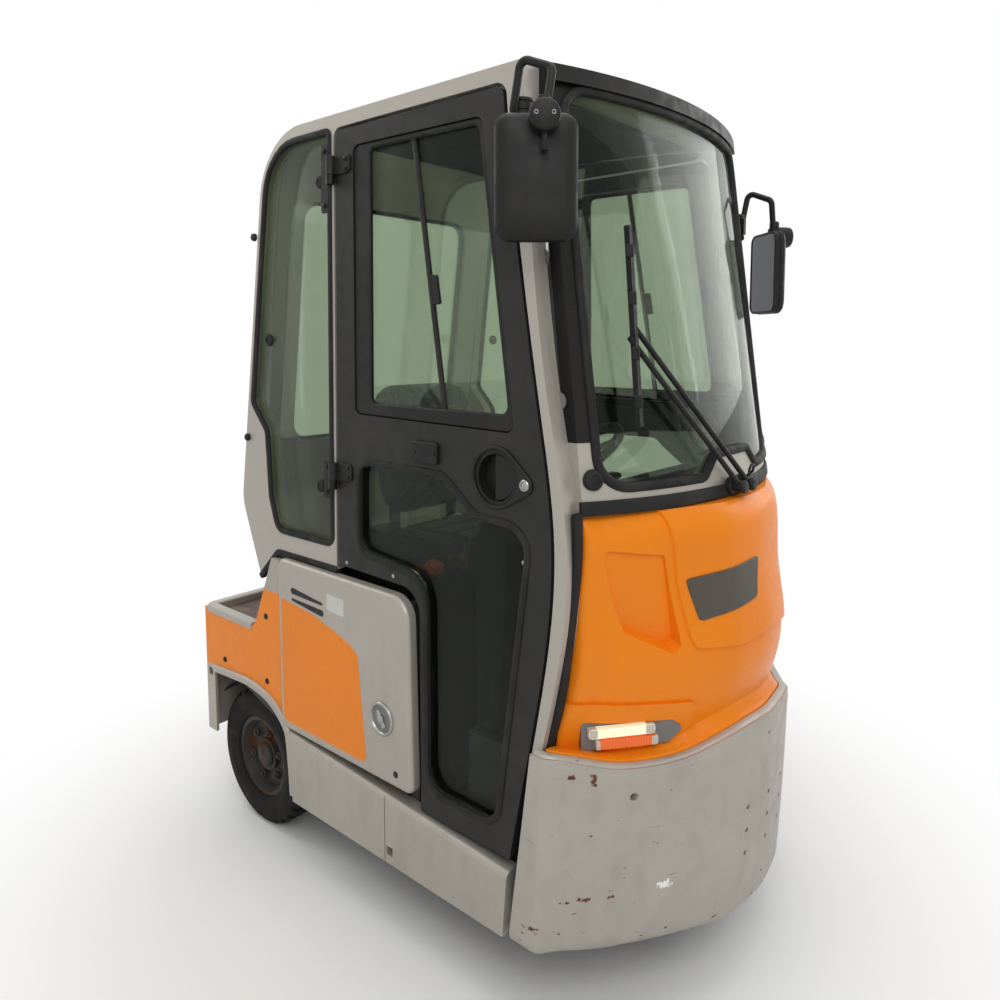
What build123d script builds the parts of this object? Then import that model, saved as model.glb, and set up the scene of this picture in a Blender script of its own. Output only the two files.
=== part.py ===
"""Electric baggage tug with a closed cab: two driven rear wheels and one steered front wheel.

Millimetres, +X forward, +Y to the left, +Z up.  The origin is on the ground under the middle of
the overall length.  Stations are measured forward from the rear end of the body.
"""
import os
from math import cos, radians, sin, tan

from build123d import *

# Overall sizes
BODY_LENGTH = 1598.0
HITCH_REACH = 76.0
BODY_WIDTH = 996.0
CAB_HEIGHT = 1988.0
CAB_LEAN_DEG = 0.815
HALF = BODY_WIDTH / 2
CAB_FOOT_HALF_WIDTH = HALF - 10.3
SEAT_GAP = 0.3
DOOR_GAP = 8.0

# Stations and heights below are drawn on this body; they stretch with the overall sizes
DRAWN_LENGTH = 1598.0
DRAWN_HEIGHT = 1988.0
BELT = 862.0
REAR_X = (HITCH_REACH - BODY_LENGTH) / 2
LEAN = tan(radians(CAB_LEAN_DEG))


def at(station):
    """X of a drawn station ahead of the rear end."""
    return REAR_X + station * BODY_LENGTH / DRAWN_LENGTH


def station_of(x):
    """Drawn station of an X."""
    return (x - REAR_X) * DRAWN_LENGTH / BODY_LENGTH


def span(rear, front):
    """Length between two drawn stations."""
    return at(front) - at(rear)


def rise(z):
    """Height of a drawn point: above the belt line it stretches with the cab's height."""
    return z if z <= BELT else BELT + (z - BELT) * (CAB_HEIGHT - BELT) / (DRAWN_HEIGHT - BELT)


def stations(points):
    """Outline points drawn as station and height, as sketch points."""
    return [(at(s), rise(z)) for s, z in points]


# Wheels and axles
TYRE_RADIUS = 200.0
TYRE_WIDTH = 110.0
RIM_RADIUS = 118.0
RIM_WIDTH = 84.0
RIM_WALL = 12.0
REAR_AXLE_SETBACK = 224.0
FRONT_AXLE_SETBACK = 288.0
REAR_AXLE_STATION = station_of(REAR_X + REAR_AXLE_SETBACK)
FRONT_AXLE_STATION = station_of(REAR_X + BODY_LENGTH - FRONT_AXLE_SETBACK)
REAR_WHEEL_Y = HALF - 98
REAR_STUB_RADIUS = 30.0
FRONT_PIN_RADIUS = 20.0
RUNNING_CLEARANCE = 0.1

# Chassis
SILL_BOTTOM = 176.0
SILL_WIDTH = 40.0
SILL_TOP_REAR = 371.0
SILL_TOP_FRONT = 324.0
SILL_REAR = 442.0
SILL_FRONT = 1236.0
FLOOR_TOP = 308.0
FLOOR_PLATE = 8.0
WHEEL_SWING = 240.0
BULKHEAD_STATION = station_of(at(FRONT_AXLE_STATION) - WHEEL_SWING)
RAIL_Y = HALF - 218
RAIL_WIDTH = 60.0
RAIL_DEPTH = 120.0
TURNTABLE_Z = 470.0
TURNTABLE_PLATE = 25.0
KINGPOST_RADIUS = 38.0

# Nose: apron below, bonnet above
APRON_BOTTOM = 168.0
APRON_TOP = 612.0
APRON_WALL = 12.0
APRON_LIP = 42.0
APRON_REAR_TOP = 1300.0
APRON_REAR_BOTTOM = 1238.0
BONNET_WALL = 9.0
BONNET_HALF = HALF - 73
BONNET_TOP = rise(1094)
PARTING_GAP = 4.0

# Rear body
REAR_HALF_WIDTH = HALF - 10
REAR_WALL = 25.0
TRIM_Z = 446.0
DECK_TOP = 612.0
REAR_TOP = 624.0
DECK_FRONT = 276.0
SKIRT_BOTTOM = 235.0
SKIRT_PLATE = 8.0
SKIRT_RETURN = 46.0
COVER_REAR = 412.0
COVER_FRONT = 944.0
COVER_BOTTOM = 376.0
COVER_TOP = 852.0
COVER_THICKNESS = 28.0
COVER_CORNER = 22.0
COVER_EDGE = 13.0

# Cab
CAB_WALL = 45.0
ROOF_RAIL = 41.0
ROOF_THICKNESS = 30.0
CAB_REAR_FOOT = 300.0
CAB_FLOOR = 780.0
CAB_REAR_WALL = 25.0
CAB_FLOOR_FRONT = 462.0
ROOF_START = 540.0
PILLAR_FOOT = 562.0
DOOR_REAR = 656.0
DOOR_THICKNESS = 36.0
GLASS = 6.0
FRONT_WALL = 28.0
SCUTTLE_BOTTOM = rise(1099)


def side_y(z, inset=0.0):
    """Half width of the leaning cab side at a height, less an inset."""
    return CAB_FOOT_HALF_WIDTH - z * LEAN - inset


def side_plane(inset=0.0):
    """Plane of the right cab side, leaning in towards the roof, with its normal outwards."""
    lean = radians(CAB_LEAN_DEG)
    normal = Vector(0, -cos(lean), sin(lean))
    return Plane(origin=Vector(0, -CAB_FOOT_HALF_WIDTH, 0) - normal * inset, x_dir=(1, 0, 0), z_dir=normal)


def keep(builder, label):
    """Label a finished piece and write it."""
    builder.part.label = label
    export_step(builder.part, f"parts/{label}.step")


def corner(sketch, station, z):
    """The sketch vertex nearest a drawn station and height."""
    point = Vector(at(station), rise(z))
    return min(sketch.vertices(), key=lambda v: (v.X - point.X) ** 2 + (v.Y - point.Y) ** 2)


def wheel_plane(station, y):
    """Section plane of a wheel: across the wheel, then up, from the wheel's centre."""
    return Plane(origin=(at(station), y, TYRE_RADIUS), x_dir=(0, 1, 0), z_dir=(1, 0, 0))


def wheel_axis(station):
    return Axis((at(station), 0, TYRE_RADIUS), (0, 1, 0))


def build_tyre(label, station, y):
    """Solid industrial tyre, seated on the rim."""
    half = TYRE_WIDTH / 2
    seat = RIM_RADIUS + SEAT_GAP
    with BuildPart() as tyre:
        with BuildSketch(wheel_plane(station, y)):
            with BuildLine():
                Polyline(
                    (-RIM_WIDTH / 2, seat),
                    (-half, seat + 0.3 * (TYRE_RADIUS - seat)),
                    (-half, TYRE_RADIUS - 22),
                    (-half + 15, TYRE_RADIUS),
                    (half - 15, TYRE_RADIUS),
                    (half, TYRE_RADIUS - 22),
                    (half, seat + 0.3 * (TYRE_RADIUS - seat)),
                    (RIM_WIDTH / 2, seat),
                    close=True,
                )
            make_face()
        revolve(axis=wheel_axis(station))
    keep(tyre, label)


def build_rim(label, station, y, bore, outward):
    """Dished disc wheel with its hub."""
    half = RIM_WIDTH / 2
    disc = 5.0 * outward
    plate = RIM_WALL * outward
    hub = bore + 18
    with BuildPart() as rim:
        with BuildSketch(wheel_plane(station, y)):
            with BuildLine():
                Polyline(
                    (-half * outward, RIM_RADIUS),
                    (half * outward, RIM_RADIUS),
                    (half * outward, RIM_RADIUS - RIM_WALL),
                    (disc + plate, RIM_RADIUS - 2 * RIM_WALL),
                    (disc + plate, hub),
                    (disc + 2 * plate, hub),
                    (disc + 2 * plate, bore),
                    (-30 * outward, bore),
                    (-30 * outward, hub),
                    (disc, hub),
                    (disc, RIM_RADIUS - 2 * RIM_WALL),
                    (-half * outward, RIM_RADIUS - RIM_WALL),
                    close=True,
                )
            make_face()
        revolve(axis=wheel_axis(station))
    keep(rim, label)


os.makedirs("parts", exist_ok=True)

# Wheels
build_tyre("rear_tyre_right", REAR_AXLE_STATION, -REAR_WHEEL_Y)
build_tyre("rear_tyre_left", REAR_AXLE_STATION, REAR_WHEEL_Y)
build_tyre("front_tyre", FRONT_AXLE_STATION, 0)
build_rim("rear_rim_right", REAR_AXLE_STATION, -REAR_WHEEL_Y, REAR_STUB_RADIUS + RUNNING_CLEARANCE, -1)
build_rim("rear_rim_left", REAR_AXLE_STATION, REAR_WHEEL_Y, REAR_STUB_RADIUS + RUNNING_CLEARANCE, 1)
build_rim("front_rim", FRONT_AXLE_STATION, 0, FRONT_PIN_RADIUS + RUNNING_CLEARANCE, 1)

# Drive axle: tube, gearbox, saddles under the rails and the stubs that carry the wheels
AXLE_TUBE_RADIUS = 45.0
RAIL_REAR_BOTTOM = 270.0
with BuildPart() as rear_axle:
    stub_plane = Plane(origin=(at(REAR_AXLE_STATION), 0, TYRE_RADIUS), x_dir=(1, 0, 0), z_dir=(0, 1, 0))
    with BuildSketch(stub_plane):
        Circle(AXLE_TUBE_RADIUS)
    extrude(amount=RAIL_Y + RAIL_WIDTH / 2, both=True)
    with BuildSketch(stub_plane):
        Circle(REAR_STUB_RADIUS)
    extrude(amount=REAR_WHEEL_Y + 20, both=True)
    with BuildSketch(stub_plane):
        RectangleRounded(200, 170, 50)
    extrude(amount=110, both=True)
    with Locations(
        (at(REAR_AXLE_STATION), RAIL_Y, (TYRE_RADIUS + RAIL_REAR_BOTTOM) / 2),
        (at(REAR_AXLE_STATION), -RAIL_Y, (TYRE_RADIUS + RAIL_REAR_BOTTOM) / 2),
    ):
        Box(90, RAIL_WIDTH - 8, RAIL_REAR_BOTTOM - TYRE_RADIUS)
keep(rear_axle, "rear_axle")

# Steering fork: crown, two arms, wheel pin, king post and the steering gear above the turntable
FORK_INNER = TYRE_WIDTH / 2 + 13
FORK_ARM = 20.0
CROWN_TOP = TURNTABLE_Z - 5
CROWN_PLATE = 25.0
GEAR_GAP = 5.0
front_x = at(FRONT_AXLE_STATION)
with BuildPart() as steer_fork:
    with BuildSketch(Plane.XY.offset(CROWN_TOP - CROWN_PLATE)):
        with Locations((front_x, 0)):
            Circle(FORK_INNER + FORK_ARM + 17)
    extrude(amount=CROWN_PLATE)
    with BuildSketch(Plane.XZ.offset(FORK_INNER)):
        with BuildLine():
            Polyline(
                (front_x - 42, CROWN_TOP - CROWN_PLATE),
                (front_x - 34, TYRE_RADIUS),
                (front_x - 34, TYRE_RADIUS - 34),
                (front_x + 34, TYRE_RADIUS - 34),
                (front_x + 34, TYRE_RADIUS),
                (front_x + 42, CROWN_TOP - CROWN_PLATE),
                close=True,
            )
        make_face()
    extrude(amount=FORK_ARM)
    mirror(about=Plane.XZ)
    with BuildSketch(Plane(origin=(front_x, 0, TYRE_RADIUS), x_dir=(1, 0, 0), z_dir=(0, 1, 0))):
        Circle(FRONT_PIN_RADIUS)
    extrude(amount=FORK_INNER + FORK_ARM + 10, both=True)
    with BuildSketch(Plane.XY.offset(CROWN_TOP)):
        with Locations((front_x, 0)):
            Circle(KINGPOST_RADIUS)
    extrude(amount=TURNTABLE_PLATE + 2 * GEAR_GAP + 30)
    with BuildSketch(Plane.XY.offset(TURNTABLE_Z + TURNTABLE_PLATE + GEAR_GAP)):
        with Locations((front_x, 0)):
            Circle(KINGPOST_RADIUS + 40)
    extrude(amount=15)
keep(steer_fork, "steer_fork")

# Chassis: rails, floor, bulkhead, front side plates and the turntable beam
RAIL_REAR = 30.0
RAIL_STEP_REAR = 400.0
RAIL_STEP_FRONT = 440.0
UNDERSIDE = SILL_BOTTOM + 4
SIDE_PLATE = 8.0
SIDE_PLATE_Y = side_y(APRON_TOP, CAB_WALL) - SEAT_GAP
SIDE_PLATE_FRONT = 1326.0
BRACKET_REAR = 1248.0
BRACKET_FRONT = 1272.0
BRACKET_Z = 330.0
PILLAR_SHELF = PILLAR_FOOT - 2
SHELF_TOP = PILLAR_FOOT - 1
SHELF_REAR = 1282.0
SHELF_FRONT = 1306.0
SHELF_REACH = 34.0
SHELF_PLATE = 12.0
POST = 28.0
POST_TOP = COVER_TOP - 24
PAD_FOOT = SILL_TOP_REAR + 12
REAR_BEAM = 28.0
REAR_BEAM_PLATE = 12.0
REAR_BEAM_FOOT = 230.0
BEAM_FRONT = 1500.0
BEAM_WIDTH = 260.0
CROSS_BEAM = 120.0
BATTERY_REAR = 446.0
BATTERY_FRONT = 900.0
BATTERY_HALF = HALF - 98
BATTERY_TOP = 700.0
sill_inner = HALF - SILL_WIDTH
with BuildPart() as chassis_frame:
    for hand in (-1, 1):
        rear_middle = at((RAIL_REAR + RAIL_STEP_FRONT) / 2)
        with Locations((rear_middle, hand * RAIL_Y, RAIL_REAR_BOTTOM + RAIL_DEPTH / 2)):
            Box(span(RAIL_REAR, RAIL_STEP_FRONT), RAIL_WIDTH, RAIL_DEPTH)
        low_middle = at((RAIL_STEP_REAR + BULKHEAD_STATION) / 2)
        low_rail = FLOOR_TOP - UNDERSIDE - 4
        with Locations((low_middle, hand * RAIL_Y, UNDERSIDE + low_rail / 2)):
            Box(span(RAIL_STEP_REAR, BULKHEAD_STATION), RAIL_WIDTH, low_rail)
        with BuildSketch(Plane.XZ.offset(hand * SIDE_PLATE_Y - (SIDE_PLATE if hand > 0 else 0))):
            with BuildLine():
                Polyline(
                    (at(BULKHEAD_STATION), UNDERSIDE),
                    (at(SIDE_PLATE_FRONT - 70), UNDERSIDE),
                    (at(SIDE_PLATE_FRONT), 260),
                    (at(SIDE_PLATE_FRONT), PILLAR_SHELF),
                    (at(BULKHEAD_STATION), PILLAR_SHELF),
                    close=True,
                )
            make_face()
        extrude(amount=SIDE_PLATE)
        # Brackets out to the apron's sides
        bracket = HALF - APRON_WALL - SIDE_PLATE_Y
        bracket_y = hand * (SIDE_PLATE_Y + bracket / 2)
        with Locations((at((BRACKET_REAR + BRACKET_FRONT) / 2), bracket_y, BRACKET_Z)):
            Box(span(BRACKET_REAR, BRACKET_FRONT), bracket, 40)
        # Shelf under the front pillar's foot
        shelf_y = hand * (SIDE_PLATE_Y + SHELF_REACH / 2)
        with Locations((at((SHELF_REAR + SHELF_FRONT) / 2), shelf_y, SHELF_TOP - SHELF_PLATE / 2)):
            Box(span(SHELF_REAR, SHELF_FRONT), SHELF_REACH, SHELF_PLATE)
        # Post under the rear bulkhead, and the uprights that carry a battery cover
        with Locations((at(DECK_FRONT), hand * RAIL_Y, (RAIL_REAR_BOTTOM + RAIL_DEPTH + TRIM_Z) / 2)):
            Box(60, RAIL_WIDTH, TRIM_Z - RAIL_REAR_BOTTOM - RAIL_DEPTH)
        for post in (SILL_REAR + POST / 2, COVER_FRONT - 30):
            with Locations((at(post), hand * (sill_inner - POST / 2), (FLOOR_TOP + POST_TOP) / 2)):
                Box(POST, POST, POST_TOP - FLOOR_TOP)
            pad = HALF - COVER_THICKNESS - sill_inner
            with Locations((at(post), hand * (sill_inner + pad / 2), (PAD_FOOT + POST_TOP) / 2)):
                Box(POST, pad, POST_TOP - PAD_FOOT)
    with Locations((at((SILL_REAR + BULKHEAD_STATION) / 2), 0, FLOOR_TOP - FLOOR_PLATE / 2)):
        Box(span(SILL_REAR, BULKHEAD_STATION), 2 * sill_inner, FLOOR_PLATE)
    with Locations((at(BULKHEAD_STATION) + FLOOR_PLATE / 2, 0, (UNDERSIDE + PILLAR_SHELF) / 2)):
        Box(FLOOR_PLATE, 2 * SIDE_PLATE_Y, PILLAR_SHELF - UNDERSIDE)
    rail_top = RAIL_REAR_BOTTOM + RAIL_DEPTH
    with Locations((at(REAR_BEAM) + REAR_BEAM_PLATE / 2, 0, (REAR_BEAM_FOOT + rail_top) / 2)):
        Box(REAR_BEAM_PLATE, 2 * RAIL_Y + RAIL_WIDTH, rail_top - REAR_BEAM_FOOT)
    with Locations((at((BULKHEAD_STATION + BEAM_FRONT) / 2), 0, TURNTABLE_Z + TURNTABLE_PLATE / 2)):
        Box(span(BULKHEAD_STATION, BEAM_FRONT), BEAM_WIDTH, TURNTABLE_PLATE)
    with Locations((at(BULKHEAD_STATION) + CROSS_BEAM / 2, 0, TURNTABLE_Z + TURNTABLE_PLATE / 2)):
        Box(CROSS_BEAM, 2 * SIDE_PLATE_Y, TURNTABLE_PLATE)
    with BuildSketch(Plane.XY.offset(TURNTABLE_Z)):
        with Locations((front_x, 0)):
            Circle(KINGPOST_RADIUS + RUNNING_CLEARANCE)
    extrude(amount=TURNTABLE_PLATE, mode=Mode.SUBTRACT)
keep(chassis_frame, "chassis_frame")

# Battery block on the floor
with BuildPart() as battery:
    with Locations((at((BATTERY_REAR + BATTERY_FRONT) / 2), 0, (FLOOR_TOP + BATTERY_TOP) / 2)):
        Box(span(BATTERY_REAR, BATTERY_FRONT), 2 * BATTERY_HALF, BATTERY_TOP - FLOOR_TOP)
keep(battery, "battery")


def both_sides(builder, stem):
    """Write a right-hand piece and its mirror image."""
    keep(builder, f"{stem}_right")
    with BuildPart() as left:
        mirror(builder.part, about=Plane.XZ)
    keep(left, f"{stem}_left")


# Sills under the covers and doors, with a joint line between the two runs
SILL_JOINT = 846.0
SILL_GROOVE = 3.0
SILL_HOLE = 863.0
SILL_HOLE_Z = 209.0
LIFT_HOLE = 22.0
with BuildPart() as sill:
    with BuildSketch(Plane.XZ.offset(HALF)):
        with BuildLine():
            Polyline(
                stations(
                    [
                        (SILL_REAR + 18, SILL_BOTTOM),
                        (SILL_FRONT - 12, SILL_BOTTOM),
                        (SILL_FRONT, SILL_TOP_FRONT),
                        (SILL_REAR, SILL_TOP_REAR),
                    ]
                ),
                close=True,
            )
        make_face()
    extrude(amount=-SILL_WIDTH)
    outer_top = sill.edges().filter_by(lambda e: abs(e.center().Y + HALF) < 0.1).sort_by(Axis.Z)[-1]
    fillet(outer_top, radius=14)
    with Locations((at(SILL_JOINT), -HALF, (SILL_BOTTOM + SILL_TOP_REAR) / 2)):
        Box(SILL_GROOVE, 2 * SILL_GROOVE, SILL_TOP_REAR, mode=Mode.SUBTRACT)
    with Locations((at(SILL_HOLE), -HALF, SILL_HOLE_Z)):
        Box(LIFT_HOLE, SILL_WIDTH, LIFT_HOLE, mode=Mode.SUBTRACT)
both_sides(sill, "sill")

# Battery covers, lifted off when their locks are open
with BuildPart() as cover:
    with BuildSketch(Plane.XZ.offset(HALF)) as cover_outline:
        with BuildLine():
            Polyline(
                stations(
                    [
                        (COVER_REAR, COVER_BOTTOM),
                        (COVER_REAR, COVER_TOP),
                        (COVER_FRONT - 10, COVER_TOP - 4),
                        (COVER_FRONT, COVER_BOTTOM),
                    ]
                ),
                close=True,
            )
        make_face()
        fillet(corner(cover_outline, COVER_FRONT - 10, COVER_TOP), radius=58)
        fillet(corner(cover_outline, COVER_REAR, COVER_TOP), radius=COVER_CORNER)
        fillet(corner(cover_outline, COVER_FRONT, COVER_BOTTOM), radius=COVER_CORNER)
        fillet(corner(cover_outline, COVER_REAR, COVER_BOTTOM), radius=COVER_CORNER)
    extrude(amount=-COVER_THICKNESS)
    outer_face = cover.faces().sort_by(Axis.Y)[0]
    fillet(outer_face.edges(), radius=COVER_EDGE)
both_sides(cover, "battery_cover")

# Rear side panels over the wheels
with BuildPart() as rear_panel:
    with BuildSketch(Plane.XZ.offset(REAR_HALF_WIDTH)) as panel_outline:
        with BuildLine():
            Polyline(
                stations(
                    [
                        (0, TRIM_Z),
                        (0, REAR_TOP),
                        (DECK_FRONT, REAR_TOP),
                        (COVER_REAR - 40, COVER_TOP - 10),
                        (COVER_REAR - 5, COVER_TOP - 10),
                        (COVER_REAR - 5, COVER_BOTTOM),
                        (COVER_REAR - 45, COVER_BOTTOM + 12),
                        (210, TRIM_Z - 10),
                        (SKIRT_RETURN + 14, TRIM_Z),
                    ]
                ),
                close=True,
            )
        make_face()
        fillet(corner(panel_outline, DECK_FRONT, REAR_TOP), radius=30)
    extrude(amount=-REAR_WALL)
both_sides(rear_panel, "rear_panel")

# Rear fascia, deck board and skirt
deck_half = REAR_HALF_WIDTH - REAR_WALL
with BuildPart() as rear_fascia:
    with Locations((REAR_X + REAR_WALL / 2, 0, (TRIM_Z + REAR_TOP) / 2)):
        Box(REAR_WALL, 2 * deck_half, REAR_TOP - TRIM_Z)
keep(rear_fascia, "rear_fascia")

# Tail lamps on the fascia
TAIL_Y = HALF - 110
TAIL_Z = 535.0
with BuildPart() as tail_lamp:
    with BuildSketch(Plane(origin=(REAR_X, -TAIL_Y, TAIL_Z), x_dir=(0, 1, 0), z_dir=(-1, 0, 0))):
        RectangleRounded(120, 62, 14)
    extrude(amount=16)
    fillet(tail_lamp.faces().sort_by(Axis.X)[0].edges(), radius=5)
with BuildPart() as tail_lamps:
    add(tail_lamp.part)
    mirror(tail_lamp.part, about=Plane.XZ)
keep(tail_lamps, "tail_lamps")

DECK_BOARD = 16.0
with BuildPart() as rear_deck:
    deck_rear = REAR_X + REAR_WALL
    with Locations(((deck_rear + at(DECK_FRONT)) / 2, 0, DECK_TOP - DECK_BOARD / 2)):
        Box(at(DECK_FRONT) - deck_rear, 2 * deck_half, DECK_BOARD)
keep(rear_deck, "rear_deck")

BULKHEAD_SHEET = 18.0
with BuildPart() as rear_bulkhead:
    with BuildSketch(Plane.XZ.offset(-deck_half)):
        with BuildLine():
            Polyline(
                stations(
                    [
                        (DECK_FRONT, TRIM_Z),
                        (DECK_FRONT, DECK_TOP),
                        (DECK_FRONT + 80, CAB_FLOOR),
                        (DECK_FRONT + 80 + BULKHEAD_SHEET, CAB_FLOOR),
                        (DECK_FRONT + BULKHEAD_SHEET, DECK_TOP - 4),
                        (DECK_FRONT + BULKHEAD_SHEET, TRIM_Z),
                    ]
                ),
                close=True,
            )
        make_face()
    extrude(amount=2 * deck_half)
keep(rear_bulkhead, "rear_bulkhead")

# Tow hitch sizes, and the skirt cut away round it
HITCH_HALF = 50.0
HITCH_PIN_RADIUS = 13.0
HITCH_JAW = 16.0
HITCH_LOW = 262.0
HITCH_HIGH = 340.0
HITCH_EYE = 40.0
HITCH_PLATE = 14.0
with BuildPart() as rear_skirt:
    skirt_middle = (SKIRT_BOTTOM + TRIM_Z) / 2
    with Locations((REAR_X + SKIRT_PLATE / 2, 0, skirt_middle)):
        Box(SKIRT_PLATE, 2 * REAR_HALF_WIDTH, TRIM_Z - SKIRT_BOTTOM)
    for hand in (-1, 1):
        with Locations((REAR_X + SKIRT_RETURN / 2, hand * (REAR_HALF_WIDTH - SKIRT_PLATE / 2), skirt_middle)):
            Box(SKIRT_RETURN, SKIRT_PLATE, TRIM_Z - SKIRT_BOTTOM)
    with Locations((REAR_X + SKIRT_PLATE / 2, 0, (HITCH_LOW + HITCH_HIGH + HITCH_JAW) / 2)):
        Box(2 * SKIRT_PLATE, 2 * HITCH_HALF + 30, HITCH_HIGH + HITCH_JAW - HITCH_LOW + 30, mode=Mode.SUBTRACT)
    # Square lifting holes in the returns
    with Locations((REAR_X + SKIRT_RETURN / 2, 0, TRIM_Z - 24)):
        Box(LIFT_HOLE, 3 * REAR_HALF_WIDTH, LIFT_HOLE, mode=Mode.SUBTRACT)
keep(rear_skirt, "rear_skirt")

# Tow hitch: two jaws on a back plate, with the pin's hole through both
hitch_tip = REAR_X - HITCH_REACH
hitch_eye = hitch_tip + HITCH_EYE
with BuildPart() as tow_hitch:
    for jaw in (HITCH_LOW, HITCH_HIGH):
        with BuildSketch(Plane.XY.offset(jaw)):
            with BuildLine():
                Polyline(
                    (at(REAR_BEAM), HITCH_HALF),
                    (hitch_eye, HITCH_HALF),
                    (hitch_tip, HITCH_HALF - 22),
                    (hitch_tip, -HITCH_HALF + 22),
                    (hitch_eye, -HITCH_HALF),
                    (at(REAR_BEAM), -HITCH_HALF),
                    close=True,
                )
            make_face()
            with Locations((hitch_eye, 0)):
                Circle(HITCH_PIN_RADIUS, mode=Mode.SUBTRACT)
        extrude(amount=HITCH_JAW)
    with Locations((at(REAR_BEAM) - HITCH_PLATE / 2, 0, (HITCH_LOW + HITCH_HIGH + HITCH_JAW) / 2)):
        Box(HITCH_PLATE, 2 * HITCH_HALF, HITCH_HIGH + HITCH_JAW - HITCH_LOW)
keep(tow_hitch, "tow_hitch")

# Plan of the nose: share of its half width, and share of its depth set back there
NOSE_CURVE = [
    (0.167, 0.028),
    (0.285, 0.072),
    (0.410, 0.180),
    (0.550, 0.324),
    (0.700, 0.503),
    (0.845, 0.703),
    (0.950, 0.880),
]
NOSE_BACK = 1140.0
# Height, front station and side station of the apron's sections
APRON_LEVELS = [
    (204.0, DRAWN_LENGTH - 14, 1294.0),
    (330.0, DRAWN_LENGTH - 7, 1304.0),
    (APRON_TOP, DRAWN_LENGTH, 1320.0),
]
# Height and inset of its rolled lower edge
APRON_ROLL = [(APRON_BOTTOM, 22.0), (173.0, 12.0), (184.0, 4.0), (204.0, 0.0)]
APRON_HOLE = 5.5
APRON_HOLE_SIDE = 90.0
APRON_HOLE_ROWS = (312.0, 366.0, 420.0)
APRON_EYE = (350.0, 512.0)
APRON_EYE_RADIUS = 8.0


def nose_points(front, side, half):
    """Points along the right-hand half of the nose's plan, from its flank towards its middle."""
    return [(at(front - (front - side) * back), -half * share) for share, back in reversed(NOSE_CURVE)]


def nose_outline(front, side, half, inset=0.0):
    """Plan of the nose as a closed face, less an inset all round its outside."""
    front, side, half = front - inset, side - 0.3 * inset, half - inset
    right = nose_points(front, side, half)
    left = [(x, -y) for x, y in reversed(right)]
    with BuildSketch() as plan:
        with BuildLine():
            edge = Spline(
                (at(side), -half), *right, (at(front), 0), *left, (at(side), half), tangents=((1, 0), (-1, 0))
            )
            Polyline(edge @ 1, (at(NOSE_BACK), half), (at(NOSE_BACK), -half), edge @ 0)
        make_face()
    return plan.sketch


def parting(gap):
    """Front view of the line between apron and bonnet: high at the sides, low under the lamps."""
    points = [
        (HALF + 10, APRON_TOP),
        (HALF - 30, APRON_TOP - 9),
        (0.80 * HALF, APRON_TOP - 32),
        (0.62 * HALF, APRON_TOP - 40),
        (0.48 * HALF, APRON_TOP - 32),
        (0.30 * HALF, APRON_TOP - 6),
        (0, APRON_TOP - 1),
    ]
    left = [(y, z + gap) for y, z in points]
    return left + [(-y, z) for y, z in reversed(left[:-1])]


NOSE_TOP = 1400.0
with BuildPart() as apron_above:
    with BuildSketch(Plane.YZ.offset(at(NOSE_BACK) - 20)):
        with BuildLine():
            line = Spline(parting(0))
            Polyline(line @ 1, (-HALF - 10, NOSE_TOP), (HALF + 10, NOSE_TOP), line @ 0)
        make_face()
    extrude(amount=BODY_LENGTH)

with BuildPart() as front_apron:
    for level, front, side in APRON_LEVELS:
        with BuildSketch(Plane.XY.offset(level)):
            add(nose_outline(front, side, HALF))
    loft()
    for level, inset in APRON_ROLL:
        with BuildSketch(Plane.XY.offset(level)):
            add(nose_outline(*APRON_LEVELS[0][1:], HALF, inset))
    loft()
    add(apron_above.part, mode=Mode.SUBTRACT)
    for level, front, side in APRON_LEVELS:
        with BuildSketch(Plane.XY.offset(level - APRON_WALL * (level < APRON_LEVELS[1][0]))):
            add(nose_outline(front, side, HALF, APRON_WALL))
    loft(mode=Mode.SUBTRACT)
    with BuildSketch(Plane.XY):
        add(nose_outline(*APRON_LEVELS[0][1:], HALF, APRON_LIP))
    extrude(amount=APRON_LEVELS[0][0], mode=Mode.SUBTRACT)
    # Holes for a front coupling, and an eye each side
    with BuildSketch(Plane.YZ.offset(at(NOSE_BACK))):
        with Locations([(y, z) for y in (-APRON_HOLE_SIDE, 0, APRON_HOLE_SIDE) for z in APRON_HOLE_ROWS]):
            Circle(APRON_HOLE)
        with Locations(APRON_EYE, (-APRON_EYE[0], APRON_EYE[1])):
            Circle(APRON_EYE_RADIUS)
    extrude(amount=BODY_LENGTH, mode=Mode.SUBTRACT)
    with BuildSketch(Plane.XZ.offset(-HALF - 10)):
        with BuildLine():
            Polyline(
                stations(
                    [
                        (NOSE_BACK - 20, APRON_BOTTOM - 10),
                        (APRON_REAR_BOTTOM, APRON_BOTTOM - 10),
                        (APRON_REAR_TOP, APRON_TOP + 10),
                        (NOSE_BACK - 20, APRON_TOP + 10),
                    ]
                ),
                close=True,
            )
        make_face()
    extrude(amount=2 * HALF + 20, mode=Mode.SUBTRACT)
keep(front_apron, "front_apron")

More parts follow.
